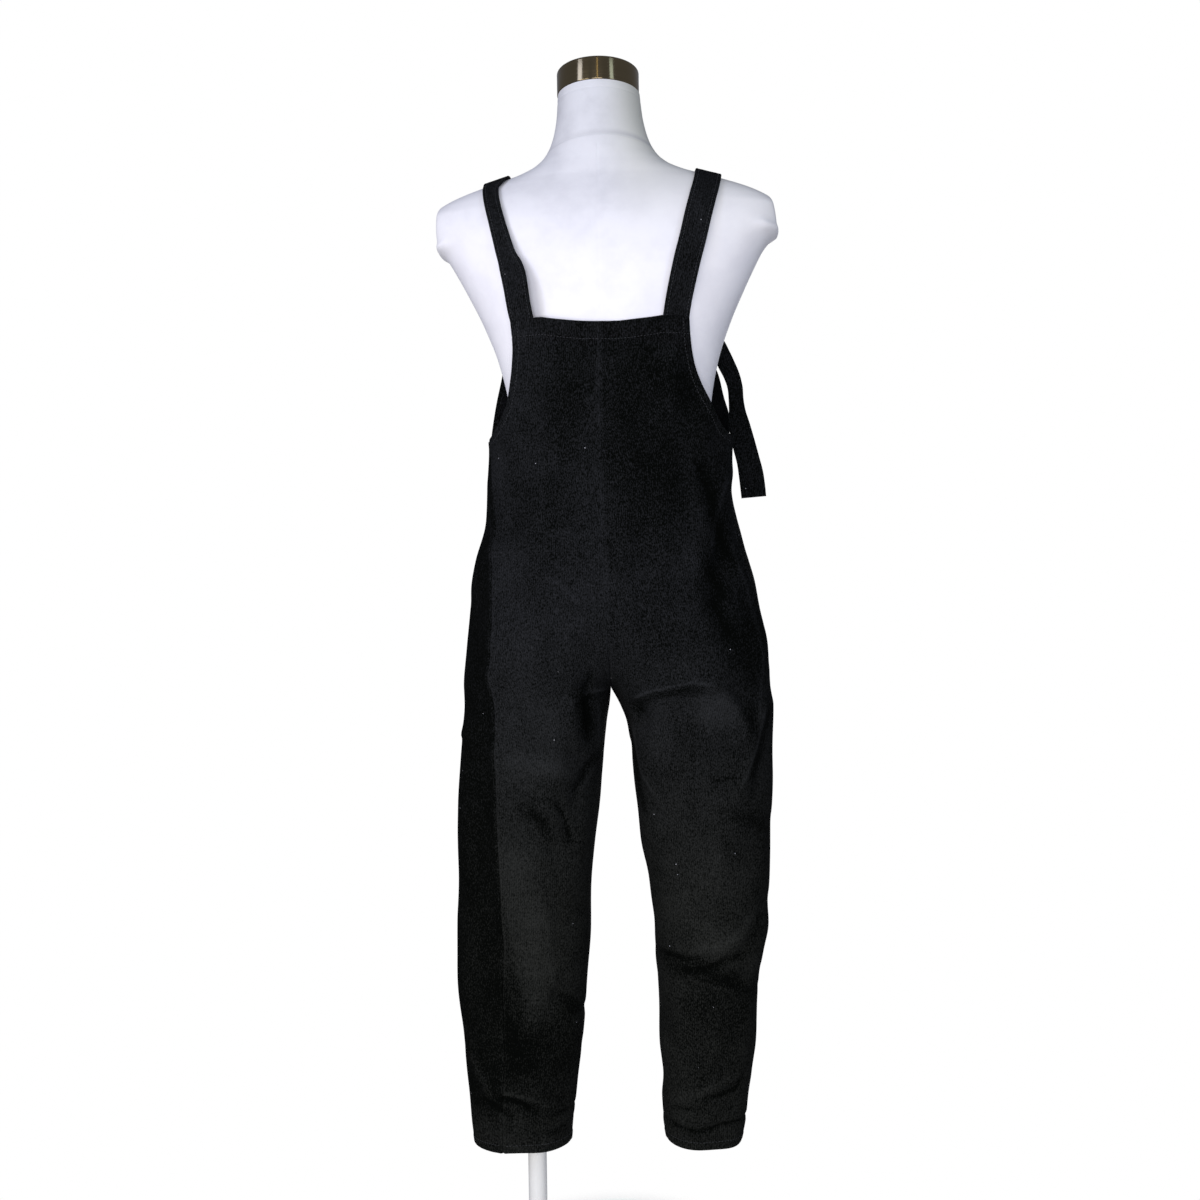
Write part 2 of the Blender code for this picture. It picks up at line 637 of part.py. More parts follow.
def make_panel(side, face, form, finish, collection):
    """Bib, seat and leg in one: from the bib's top edge to the hem, between centre seam and side seam."""
    outer, normals = [], []
    for z in panel_rows(face):
        rise = max((z - ARMHOLE_Z) / (TOP_Z[face] - ARMHOLE_Z), 0)
        points, directions = [], []
        for angle in row_angles(side, face, z):
            off_middle = wall_point(side, angle, z).x / DIP_HALF
            dip = TOP_DIP * rise**2 * max(1 - off_middle**2, 0)
            normal = wall_normal(side, angle, z - dip)
            point = wall_point(side, angle, z - dip)
            point = point + normal * fold_height(side, point)
            points.append(clear_of_form(form, point, normal, CLOTH, EASE))
            directions.append(normal)
        outer.append(points)
        normals.append(directions)
    name = ("back_" if face == BACK else "front_") + HANDS[side]
    wall(name, outer, normals, CLOTH, finish, collection)


def band(route, facing, widths, form):
    """Outer points and normals of a flat band: each cross row is square to the route and faces the way given."""
    outer, normals = [], []
    ways = np.gradient(route[:, :3], axis=0)
    for place, way, face, width in zip(route[:, :3], ways, facing, widths):
        across = Vector(way).cross(face).normalized()
        normal = across.cross(Vector(way)).normalized()
        points = []
        for share in np.linspace(-0.5, 0.5, BAND_COLUMNS):
            point = Vector(place) + across * share * width
            points.append(clear_of_form(form, point, normal, STRAP_THICK, STRAP_ROOM))
        outer.append(points)
        normals.append([normal] * BAND_COLUMNS)
    return outer, normals


def make_strap(side, form, finish, collection):
    """Back bib's corner to knot: the band lies on the shoulder and turns with it.

    Its first row is the bib's own top edge, a seam's gap above it, and the next rows leave that edge gently."""
    route = through(STRAPS[side], STRAP_STATIONS)
    facing = []
    for station in route:
        _, outward, _, _ = form.find_nearest(Vector(station[:3]))
        facing.append(outward)
        station[:3] = clear_of_form(form, Vector(station[:3]), outward, STRAP_THICK, STRAP_ROOM)
    outer, normals = band(route, facing, STRAP_WIDTH * route[:, 3], form)
    edge = smooth(ARMHOLES[BACK], HANDS[side], TOP_Z[BACK])
    ends = (edge, edge - STRAP_REACH[side]) if side == LEFT else (STRAP_REACH[side] - edge, -edge)
    for row, share in enumerate(STRAP_LEAVES_BIB):
        z = TOP_Z[BACK] + SEAM_GAP + route[row][2] - route[0][2]
        shift = route[row][0] - route[0][0]
        for column, x in enumerate(np.linspace(*ends, BAND_COLUMNS) + shift):
            angle = angle_at(side, BACK, z, x)
            normal = wall_normal(side, angle, z)
            outer[row][column] = outer[row][column].lerp(wall_point(side, angle, z), share)
            normals[row][column] = normals[row][column].lerp(normal, share).normalized()
    wall("strap_" + HANDS[side], outer, normals, STRAP_THICK, finish, collection)


def make_knot(side, finish, collection):
    """The strap tied on itself: a rounded lump that sits on the front bib's corner."""
    x = STRAPS[side][-1][0]
    bib = wall_point(side, angle_at(side, FRONT, KNOT_Z, x - side * KNOT_SIZE[0]), KNOT_Z)
    mesh = bmesh.new()
    bmesh.ops.create_uvsphere(mesh, u_segments=16, v_segments=10, radius=1)
    bmesh.ops.scale(mesh, vec=KNOT_SIZE, verts=mesh.verts)
    place = Vector((x, bib.y - KNOT_SIZE[1] - EASE + KNOT_PULLED_IN, KNOT_Z))
    bmesh.ops.translate(mesh, vec=place, verts=mesh.verts)
    solid("knot_" + HANDS[side], mesh, finish, collection)


def make_tail(side, form, finish, collection):
    """The strap's free end, gathered where it leaves the knot."""
    route = through(TAILS[side], TAIL_STATIONS)
    facing = [Vector((0, FRONT, 0))] * TAIL_STATIONS
    outer, normals = band(route, facing, STRAP_WIDTH * route[:, 3], form)
    wall("tail_" + HANDS[side], outer, normals, STRAP_THICK, finish, collection)


def main():
    clear_scene()
    collection = bpy.data.collections.new("jumpsuit_on_dress_form")
    bpy.context.scene.collection.children.link(collection)
    corduroy = material("black_corduroy", (0.012, 0.012, 0.015), 0.9)
    jersey = material("white_jersey", (0.80, 0.80, 0.82), 0.7)
    steel = material("brushed_steel", (0.55, 0.53, 0.50), 0.35, 1.0)
    paint = material("white_painted_steel", (0.85, 0.85, 0.85), 0.4)
    form = make_form(jersey, collection)
    make_stand(steel, paint, collection)
    for side in (LEFT, RIGHT):
        for face in (BACK, FRONT):
            make_panel(side, face, form, corduroy, collection)
        make_strap(side, form, corduroy, collection)
        make_knot(side, corduroy, collection)
        make_tail(side, form, corduroy, collection)


main()
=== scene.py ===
"""What shows of black corduroy dungarees and of the white dress form that wears them.

Every piece is made at its real size, in metres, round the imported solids: +Z up, the garment's front at -Y,
the wearer's left at +X. Only the tables of folds, brushed patches and straps are written in millimetres.
"""

from math import cos, pi, radians, sin

import bpy
import numpy as np
from mathutils import Matrix, Vector
from mathutils.bvhtree import BVHTree


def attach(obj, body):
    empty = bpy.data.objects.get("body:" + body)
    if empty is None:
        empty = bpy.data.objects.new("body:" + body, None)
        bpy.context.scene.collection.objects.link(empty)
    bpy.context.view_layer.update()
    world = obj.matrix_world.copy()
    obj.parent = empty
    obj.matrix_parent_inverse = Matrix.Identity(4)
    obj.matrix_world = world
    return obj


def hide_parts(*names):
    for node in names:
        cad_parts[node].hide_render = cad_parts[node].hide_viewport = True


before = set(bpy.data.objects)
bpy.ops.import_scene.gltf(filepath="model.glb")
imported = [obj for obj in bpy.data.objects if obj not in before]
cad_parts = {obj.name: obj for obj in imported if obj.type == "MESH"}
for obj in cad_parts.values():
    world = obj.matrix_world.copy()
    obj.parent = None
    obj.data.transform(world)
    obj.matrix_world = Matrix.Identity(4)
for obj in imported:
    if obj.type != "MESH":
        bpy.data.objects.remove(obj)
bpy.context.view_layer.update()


# ------------------------------------------------------------------------------ studio
# A plain pale studio: a matt floor that runs out to white, two soft boxes and a low fill light for the back,
# three high strips that show in the neck's cap, a lamp for the front, and a camera behind at waist height.

CAMERA_HEIGHT = 0.925
CAMERA_DISTANCE = 1.60
CAMERA_ROLL = 0.0157
CAMERA_SHIFT = -0.005
FRAME_WIDTH = 1.632  # what the frame takes in at the middle of the garment
SENSOR = 0.036
FLOOR_HALF = 0.8
FLOOR_FADE = (0.15, 0.25)  # distances between which the floor thins out to the white backdrop


def linear(hex_colour):
    """An sRGB hex colour as linear RGBA."""
    parts = [int(hex_colour[i : i + 2], 16) / 255 for i in (1, 3, 5)]
    return (*(c / 12.92 if c <= 0.04045 else ((c + 0.055) / 1.055) ** 2.4 for c in parts), 1)


def node(kind, inputs=(), out=0, **settings):
    """Adds a node to the tree at hand and gives one of its outputs. inputs: values for its sockets or what
    feeds them, in the sockets' order or as a dict by their names or numbers."""
    made = tree.nodes.new("ShaderNode" + kind)
    for name, value in settings.items():
        setattr(made, name, value)
    for name, value in inputs.items() if isinstance(inputs, dict) else enumerate(inputs):
        if isinstance(value, bpy.types.NodeSocket):
            tree.links.new(value, made.inputs[name])
        else:
            made.inputs[name].default_value = value
    return made.outputs[out]


def new_material(name, **sockets):
    """A Principled material, with plain values for the sockets named (spaces written as underscores)."""
    made = bpy.data.materials.new(name)
    made.use_nodes = True
    shader = made.node_tree.nodes["Principled BSDF"]
    for socket, value in sockets.items():
        shader.inputs[socket.replace("_", " ")].default_value = value
    return made, made.node_tree, shader.inputs


def plain_mesh(name, points, faces, finish, sharp=180):
    """A smooth-shaded object, but for the edges that turn more than sharp degrees."""
    mesh = bpy.data.meshes.new(name)
    mesh.from_pydata([tuple(p) for p in points], [], [tuple(f) for f in faces])
    mesh.materials.append(finish)
    mesh.shade_smooth()
    if sharp < 180:
        mesh.set_sharp_from_angle(angle=radians(sharp))
    made = bpy.data.objects.new(name, mesh)
    bpy.context.scene.collection.objects.link(made)
    return made


SOFT = {"interpolation_type": "SMOOTHSTEP"}  # a map range that eases in and out
floor_paint, tree, surface = new_material(
    "matt_white_floor_paint", Base_Color=linear("#f4f4f4"), Roughness=0.9, Specular_IOR_Level=0.1
)
place = node("TexCoord", out="Object")
distance = node("VectorMath", (place,), "Value", operation="LENGTH")
tree.links.new(node("MapRange", (distance, *FLOOR_FADE, 1, 0), **SOFT), surface["Alpha"])
corners = [(x * FLOOR_HALF, y * FLOOR_HALF, 0) for x, y in ((-1, -1), (1, -1), (1, 1), (-1, 1))]
plain_mesh("floor", corners, [(0, 1, 2, 3)], floor_paint)

world = bpy.data.worlds.new("studio")
bpy.context.scene.world = world
world.use_nodes = True
tree = world.node_tree
ambient = node("Background", (linear("#dfe2ee"), 0.30))
backdrop = node("Background", (linear("#ffffff"), 1.0))
sky = node("MixShader", (node("LightPath", out="Is Camera Ray"), ambient, backdrop))
tree.links.new(sky, tree.nodes["World Output"].inputs["Surface"])

LAMPS = {
    # name: place, aim, width, height, watts, colour
    "left_box": ((1.75, 2.25, 0.85), (0, 0, 1.00), 1.4, 1.5, 29, "#fffaf0"),
    "right_box": ((-1.75, 2.25, 0.95), (0, 0, 1.00), 0.8, 1.4, 4, "#f6f7ff"),
    "back_fill": ((0.10, 3.10, 0.60), (0, 0, 1.00), 1.4, 1.0, 49, "#fbfaff"),
    "strip_left": ((2.20, 1.85, 2.30), (0, 0, 1.60), 0.60, 1.8, 18.0, "#cad6ff"),
    "strip_right": ((-1.75, 2.25, 2.30), (0, 0, 1.60), 0.46, 1.8, 7.0, "#cce8ff"),
    "strip_middle": ((0.06, 3.00, 2.60), (0, 0, 1.60), 0.10, 1.8, 1.2, "#ffe49c"),
    "front": ((-0.4, -3.00, 1.60), (0, 0, 1.0), 1.6, 1.6, 66, "#ffffff"),
}
for name, (stand, aim, width, height, watts, colour) in LAMPS.items():
    light = bpy.data.lights.new(name, "AREA")
    light.shape, light.size, light.size_y = "RECTANGLE", width, height
    light.energy, light.color = watts, linear(colour)[:3]
    lamp = bpy.data.objects.new(name, light)
    lamp.location = stand
    lamp.rotation_euler = (Vector(aim) - Vector(stand)).to_track_quat("-Z", "Y").to_euler()
    bpy.context.scene.collection.objects.link(lamp)

lens = bpy.data.cameras.new("camera")
lens.sensor_width = SENSOR * 1000
lens.lens = SENSOR * 1000 * CAMERA_DISTANCE / FRAME_WIDTH
lens.shift_x = CAMERA_SHIFT
camera = bpy.data.objects.new("camera", lens)
right = Vector((-cos(CAMERA_ROLL), 0, -sin(CAMERA_ROLL)))
up = Vector((-sin(CAMERA_ROLL), 0, cos(CAMERA_ROLL)))
turn = Matrix((right, up, right.cross(up))).transposed().to_4x4()
camera.matrix_world = Matrix.Translation((0, CAMERA_DISTANCE, CAMERA_HEIGHT)) @ turn
bpy.context.scene.collection.objects.link(camera)
bpy.context.scene.camera = camera
bpy.context.scene.view_settings.view_transform = "Standard"


# ------------------------------------------------------------------------------ torso
# The limbless dress form: a moulded shell under a pulled-on cover of white polyester jersey, sewn up the
# middle of its back and round the foot of its neck. The shoulders end in flat faces.


def table(names, *rows):
    """Columns by name, from rows that start at the lowest level."""
    return dict(zip(names.split(), np.array(rows, float).T))


def smooth(rows, name, z):
    """A column's values at the heights z, on a curve through the rows that never swings past them."""
    levels, values = rows["z"], rows[name]
    z = np.clip(z, levels[0], levels[-1])
    steps = np.diff(values) / np.diff(levels)
    below, above = steps[:-1], steps[1:]
    with np.errstate(divide="ignore", invalid="ignore"):
        inner = np.where(below * above > 0, 2 * below * above / (below + above), 0)
    slopes = np.concatenate([steps[:1], inner, steps[-1:]])
    row = np.clip(np.searchsorted(levels, z) - 1, 0, len(levels) - 2)
    span = levels[row + 1] - levels[row]
    t = (z - levels[row]) / span
    ends = values[row] + (values[row + 1] - values[row]) * t * t * (3 - 2 * t)
    return ends + span * t * (1 - t) * (slopes[row] * (1 - t) - slopes[row + 1] * t)


def power_of(value, power):
    """A cosine or sine bent from an ellipse's to that of a boxier oval."""
    return np.sign(value) * np.abs(value) ** (2 / power)


def bump(distance, width):
    """1 where the distance is nought, falling smoothly to almost 0 at twice the width."""
    return np.exp(-((distance / width) ** 2))


def ring_faces(rings, turn, closed=False):
    """Quads between rings of points, and from the last ring back to the first if closed."""
    return [
        (here + k, here + after, there + after, there + k)
        for here, there in ((r * turn, (r + 1) % rings * turn) for r in range(rings if closed else rings - 1))
        for k, after in ((k, (k + 1) % turn) for k in range(turn))
    ]


def end_faces(rings, turn):
    """The faces that close the first ring and the last."""
    return [tuple(range(turn))[::-1], tuple(range((rings - 1) * turn, rings * turn))]


FORM = table(
    "z      half   back   front  power",
    (0.850, 0.134, 0.076, 0.074, 2.3),
    (0.853, 0.146, 0.086, 0.083, 2.3),
    (0.862, 0.155, 0.095, 0.091, 2.3),
    (0.885, 0.161, 0.101, 0.095, 2.3),
    (0.930, 0.162, 0.105, 0.098, 2.3),
    (1.000, 0.148, 0.097, 0.098, 2.3),
    (1.080, 0.133, 0.084, 0.095, 2.3),
    (1.140, 0.132, 0.083, 0.098, 2.3),
    (1.200, 0.139, 0.088, 0.105, 2.3),
    (1.250, 0.150, 0.093, 0.111, 2.3),
    (1.300, 0.168, 0.096, 0.113, 2.35),
    (1.347, 0.190, 0.096, 0.108, 2.4),
    (1.374, 0.204, 0.094, 0.100, 2.4),
    (1.390, 0.213, 0.091, 0.093, 2.4),
    (1.405, 0.224, 0.088, 0.084, 2.4),
    (1.425, 0.236, 0.083, 0.074, 2.4),
    (1.443, 0.240, 0.076, 0.066, 2.4),
    (1.456, 0.228, 0.070, 0.060, 2.4),
    (1.468, 0.208, 0.064, 0.055, 2.35),
    (1.480, 0.178, 0.058, 0.052, 2.3),
    (1.490, 0.148, 0.054, 0.052, 2.2),
    (1.500, 0.118, 0.052, 0.054, 2.15),
    (1.512, 0.094, 0.050, 0.057, 2.1),
    (1.527, 0.078, 0.049, 0.060, 2.0),
    (1.545, 0.068, 0.048, 0.063, 2.0),
    (1.565, 0.062, 0.047, 0.065, 2.0),
    (1.585, 0.0585, 0.0465, 0.066, 2.0),
    (1.6135, 0.056, 0.046, 0.066, 2.0),
)
FORM_ROWS = (
    # rows of points: from, to and how many; closest at the foot, the shoulders and the neck's two seams
    (0.850, 0.866, 9),
    (0.870, 1.390, 110),
    (1.392, 1.520, 65),
    (1.522, 1.6135, 40),
    (1.505, 1.545, 41),
    (1.598, 1.612, 15),
)
FORM_COLUMNS = 176
SEAM_COLUMNS = np.array([0, 0.004, 0.008, 0.012, 0.018, 0.026])  # angles beside the seams up back and front
FORM_LEAN = 0.022
FORM_YAW = radians(-5)
SHOULDER_LEVEL = 1.420
# the flat faces in which the shoulders end: how far out each is at that level, how much further out for each
# metre below it, and the height of the lip of its rim
SHOULDER_FACES = {1: (0.2245, 0.10, 1.404), -1: (0.2345, 0.21, 1.4125)}
ARM_EDGE = 0.004  # how far in from a shoulder's face its rim is rounded
LIP = (0.0085, 0.0065, 0.190, 0.02)  # how far the lip stands out, half its height, where it starts, its run
COVER_SEAM = (0.0003, 0.0014)  # depth and half width of the cover's seams
NECK_SEAM = (1.529, 0.24)  # its height at the sides, and how fast it rises towards the back
NECK_BAND = (1.6035, 0.0012, 0.0004)  # the cover's top hem: height, half width, depth

levels = np.concatenate([FORM["z"], *(np.linspace(*span) for span in FORM_ROWS)])
levels = np.unique(np.round(levels, 4))
around = np.linspace(0, 2 * pi, FORM_COLUMNS, endpoint=False)
beside = [middle + hand * SEAM_COLUMNS for middle in (pi / 2, 1.5 * pi) for hand in (1, -1)]
around = np.unique(np.round(np.concatenate([around, *beside]), 5))
z, a = levels[:, None], around[None, :]
half, back, front, power = (smooth(FORM, name, z) for name in ("half", "back", "front", "power"))
x = half * power_of(np.cos(a), power)
y = (back - front) / 2 + (back + front) / 2 * power_of(np.sin(a), power)
for hand, (cut, slant, lip_z) in SHOULDER_FACES.items():
    reach = np.abs(x)
    reach = reach + LIP[0] * bump(z - lip_z, LIP[1]) * np.clip((reach - LIP[2]) / LIP[3], 0, 1) ** 2
    limit = cut + slant * (SHOULDER_LEVEL - z) - ARM_EDGE
    over = np.maximum(reach - limit, 0)
    cut_off = np.minimum(reach, limit) + ARM_EDGE * (1 - np.exp(-over / ARM_EDGE))
    x = np.where(hand * x > 0, hand * cut_off, x)
groove = COVER_SEAM[0] * bump(x, COVER_SEAM[1]) * (z < NECK_SEAM[0])
groove = np.maximum(groove, COVER_SEAM[0] * bump(z - NECK_SEAM[0] - NECK_SEAM[1] * y, COVER_SEAM[1]))
groove = np.maximum(groove, NECK_BAND[2] * bump(z - NECK_BAND[0], NECK_BAND[1]))
x, y = x * (1 - groove / half), y * (1 - groove / back)
x, y = x * cos(FORM_YAW) - y * sin(FORM_YAW), x * sin(FORM_YAW) + y * cos(FORM_YAW)
rings = np.stack([x - FORM_LEAN * (FORM["z"][-1] - z), y, z + 0 * x], axis=-1)
count, turn = rings.shape[:2]

# White polyester jersey: a fine knit, matt with a faint soft sheen, a little soiled from handling, and greyer
# up the neck's piece, with painted shade on its side on the wearer's right. Its loops are 0.6 mm apart; they
# are drawn at 1.6 mm, so that a trace of them shows.
JERSEY_LOOP = 0.0016
SOILED_PATCH = 0.04545  # how wide a soiled patch is
RUBBED_STREAK = 0.016667
COLOUR = {"data_type": "RGBA", "out": 2}  # a mix of two colours
TIMES, PLUS = {"operation": "MULTIPLY"}, {"operation": "ADD"}
jersey, tree, surface = new_material("white_polyester_jersey", Roughness=0.75, Specular_IOR_Level=0.2)
place = node("TexCoord", out="Object")
x, y, z = node("SeparateXYZ", (place,)).node.outputs
soiling = node("TexNoise", {"Vector": place, "Scale": 1 / SOILED_PATCH, "Detail": 4, "Roughness": 0.6})
soiling = node("MapRange", (soiling, 0.35, 0.75), **SOFT)
clean = node("Mix", {0: soiling, 6: linear("#f6f5fb"), 7: linear("#eeedf4")}, **COLOUR)
# the middle of the upper back, where the form is held, is rubbed a little grey
rubbed = node("Math", (node("Math", (x, 0.004), **PLUS),), operation="ABSOLUTE")
rubbed = node("MapRange", (rubbed, 0, 0.012, 1, 0), **SOFT)
streaks = node("Mapping", {"Vector": place, "Scale": (1, 1, 0.4)})
streaks = node("TexNoise", {"Vector": streaks, "Scale": 1 / RUBBED_STREAK, "Detail": 2})
streaks = node("MapRange", (streaks, 0.35, 0.6), **SOFT)
rising = node("MapRange", (z, 1.40, 1.47), **SOFT)
ending = node("MapRange", (z, 1.50, 1.54, 0.4, 0), **SOFT)
for limit in (rising, streaks, ending):
    rubbed = node("Math", (rubbed, limit), **TIMES)
clean = node("Mix", {0: rubbed, 6: clean, 7: linear("#d8d8e0")}, **COLOUR)
# the neck's piece, greyer; on the wearer's right, where it turns away from the light, painted shade makes it
# greyer and warmer still
neck_tone = node("Mix", {0: soiling, 6: linear("#d9dae0"), 7: linear("#cbccd2")}, **COLOUR)
painted_shade_right = node("MapRange", (x, -0.06, 0.01, 1, 0), **SOFT)
neck_tone = node("Mix", {0: painted_shade_right, 6: neck_tone, 7: linear("#cecfc8")}, **COLOUR)
cover = node("Mix", {0: node("MapRange", (z, 1.34, 1.60), **SOFT), 6: clean, 7: neck_tone}, **COLOUR)
# and a line of shade under its seam
seam_height = node("Math", (y, NECK_SEAM[1], NECK_SEAM[0]), operation="MULTIPLY_ADD")
above_seam = node("Math", (z, seam_height), operation="SUBTRACT")
seam_shade = node("MapRange", (x, -0.06, 0.05, 0.55, 0.25), **SOFT)
for limit in ((0.001, 0.010, 1, 0), (-0.003, 0.002, 0, 1)):
    seam_shade = node("Math", (seam_shade, node("MapRange", (above_seam, *limit), **SOFT)), **TIMES)
cover = node("Mix", {0: seam_shade, 6: cover, 7: linear("#a9aab0")}, **COLOUR)
tree.links.new(cover, surface["Base Color"])
loops = node("TexNoise", {"Vector": place, "Scale": 1 / JERSEY_LOOP, "Detail": 2})
tree.links.new(node("Bump", {"Height": loops, "Strength": 0.12, "Distance": 0.0005}), surface["Normal"])

faces = ring_faces(count, turn) + end_faces(count, turn)
torso = plain_mesh("torso_cover", rings.reshape(-1, 3), faces, jersey, sharp=50)
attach(torso, "root")
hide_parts("form_torso")
form_tree = BVHTree.FromPolygons(
    [v.co for v in torso.data.vertices], [tuple(p.vertices) for p in torso.data.polygons]
)


# ------------------------------------------------------------------------------ neck cap
# The stainless cap that closes the neck: turned from a thick disc, brushed round its axis, rounded at its
# edges and pressed on over the cover's top hem.

CAP_RADIUS = 0.056
CAP_HEIGHT = 0.0315
CAP_CENTRE = (0, -0.010)
EDGE_ROUND = 0.003
STAND_OFF = 0.0003  # between two pieces that touch


def rounded(radius, bottom, top, edge=EDGE_ROUND, steps=6):
    """Profile of a disc, from the middle of its top to the middle of its underside."""
    profile = [(0, top)]
    for k in range(steps + 1):
        a = pi / 2 * k / steps
        profile.append((radius - edge + edge * sin(a), top - edge + edge * cos(a)))
    for k in range(steps + 1):
        a = pi / 2 * k / steps
        profile.append((radius - edge / 2 + edge / 2 * cos(a), bottom + edge / 2 - edge / 2 * sin(a)))
    return profile + [(0, bottom)]


def turned(name, profile, centre, finish, steps=128, bored=False):
    """A round piece from a profile of (radius, height), from axis to axis, or all round its bore."""
    rims = profile if bored else profile[1:-1]
    turns = [2 * pi * k / steps for k in range(steps)]
    points = [(centre[0] + r * cos(a), centre[1] + r * sin(a), h) for r, h in rims for a in turns]
    faces = [face[::-1] for face in ring_faces(len(rims), steps, bored)]
    if not bored:
        last = len(points)
        points += [(*centre, profile[0][1]), (*centre, profile[-1][1])]
        for k in range(steps):
            after = (k + 1) % steps
            faces += [(last, k, after), (last + 1, last - steps + after, last - steps + k)]
    return plain_mesh(name, points, faces, finish, sharp=35)


# Stainless steel, turned and then brushed round: fine level scratches draw each reflection out upright, so
# that the lamps show as bright strips on a dull grey brown. The scratches are 0.1 mm wide, drawn at 0.8 mm.
BRUSH_LINE = 0.0008
LINE_LENGTH = 0.1111  # how long a scratch runs
steel, tree, surface = new_material(
    "brushed_stainless_steel", Metallic=1.0, Anisotropic=0.9, Anisotropic_Rotation=0.25
)
tree.links.new(node("Tangent", direction_type="RADIAL", axis="Z"), surface["Tangent"])
brushing = (1 / LINE_LENGTH, 1 / LINE_LENGTH, 1 / BRUSH_LINE)
drawn = node("Mapping", {"Vector": node("TexCoord", out="Object"), "Scale": brushing})
lines = node("TexNoise", {"Vector": drawn, "Scale": 1, "Detail": 3})
colour = node("Mix", {0: lines, 6: linear("#73674f"), 7: linear("#86795f")}, **COLOUR)
tree.links.new(colour, surface["Base Color"])
tree.links.new(node("MapRange", (lines, 0.2, 0.8, 0.14, 0.20), **SOFT), surface["Roughness"])
tree.links.new(node("Bump", {"Height": lines, "Strength": 0.02, "Distance": 0.0001}), surface["Normal"])

neck_top = FORM["z"][-1] + STAND_OFF
cap = turned("neck_cap_turned", rounded(CAP_RADIUS, neck_top, neck_top + CAP_HEIGHT), CAP_CENTRE, steel)
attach(cap, "root")
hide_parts("neck_cap")


# ------------------------------------------------------------------------------ stand
# The pole in the left leg, its collar with a set screw, and the round plate it stands on: turned and drawn
# steel, powder coated white.

POLE_X = 0.105
POLE_RADIUS = 0.0125
POLE_TOP = 0.8497
POLE_ROUND = 0.0006
COLLAR_RADIUS = 0.024
COLLAR_HEIGHT = 0.030
BASE_RADIUS = 0.170
BASE_THICK = 0.008
SCREW_RADIUS = 0.0035
SCREW_PROUD = 0.0022
SCREW_DEPTH = 0.001
SCREW_ROUND = 0.0005

# Powder coat: baked polyester paint, satin, a little cloudy, with the faint orange peel of the melt, about
# 2 mm across.
PEEL = 0.002
CLOUD = 0.1111  # how wide a cloud in the white is
paint, tree, surface = new_material(
    "white_powder_coat", Roughness=0.36, Coat_Weight=0.15, Coat_Roughness=0.2
)
place = node("TexCoord", out="Object")
clouds = node("TexNoise", {"Vector": place, "Scale": 1 / CLOUD, "Detail": 4})
colour = node("Mix", {0: clouds, 6: linear("#dcdcda"), 7: linear("#efefed")}, **COLOUR)
tree.links.new(colour, surface["Base Color"])
peel = node("TexNoise", {"Vector": place, "Scale": 1 / PEEL, "Detail": 1})
tree.links.new(node("Bump", {"Height": peel, "Strength": 0.1, "Distance": 0.0003}), surface["Normal"])

foot = BASE_THICK + STAND_OFF
base = turned("base_disc", rounded(BASE_RADIUS, 0, BASE_THICK), (0, 0), paint, 192)
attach(base, "root")
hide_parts("base_plate")
pole = turned("pole_tube", rounded(POLE_RADIUS, foot, POLE_TOP, POLE_ROUND, 3), (POLE_X, 0), paint, 64)
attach(pole, "root")
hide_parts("pole")
bore = POLE_RADIUS + STAND_OFF
outside = rounded(COLLAR_RADIUS, foot, foot + COLLAR_HEIGHT)[1:-1]
ring = [(bore, foot + COLLAR_HEIGHT), *outside, (bore, foot)]
collar = turned("collar_ring", ring, (POLE_X, 0), paint, 96, bored=True)
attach(collar, "root")
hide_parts("pole_collar")
button = rounded(SCREW_RADIUS, -SCREW_DEPTH, SCREW_PROUD, SCREW_ROUND, 3)
screw = turned("collar_screw", button, (0, 0), steel, 24)
seat = Matrix.Translation((POLE_X + COLLAR_RADIUS, 0, foot + COLLAR_HEIGHT / 2))
screw.data.transform(seat @ Matrix.Rotation(pi / 2, 4, "Y"))
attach(screw, "root")


# ------------------------------------------------------------------------------ needlecord
# The dungarees' cloth: black cotton needlecord, whose cut pile stands in fine ribs down each piece. Where the
# pile is brushed up or pressed it takes the light a little more or less, in soft patches; painted highlights
# and painted shade, along the folds and where parts turn from the light, are laid into the same brightness
# per point.

# The ribs are 1.4 mm apart; they are drawn at 2.8 mm, so that a trace of them shows.
RIB = 0.0028
RIB_WEIGHT = 0.16  # how far the ribs sway the shade
LINT_SPACING = 0.025
LINT_SIZE = 0.0007
LINT_SHARE = 0.55  # how many of the places have a speck
# What makes the shade uneven: size in millimetres, detail, scale along each axis, roughness and weight. The
# first two are where the pile was brushed. The last is its tufts, 0.5 mm wide, drawn at 1.6 mm so that they
# show.
UNEVEN = (
    (111.1, 3, (1, 1, 0.6), 0.50, 0.30),
    (38.46, 5, (1, 1, 0.8), 0.62, 0.50),
    (1.5625, 2, (1, 1, 0.6), 0.50, 2.20),
)
cord, tree, surface = new_material(
    "black_cotton_needlecord", Roughness=1.0, Specular_IOR_Level=0.02, IOR=1.45
)
place = node("TexCoord", out="Object")
weave = node("UVMap", uv_map="cloth")
ribs = node(
    "TexWave",
    {"Vector": weave, "Scale": pi / 10 / RIB, "Distortion": 0.35, "Detail": 1.0, "Detail Scale": 0.3},
    "Fac",
    wave_type="BANDS",
    bands_direction="X",
)
level = -(RIB_WEIGHT + sum(row[-1] for row in UNEVEN)) / 2
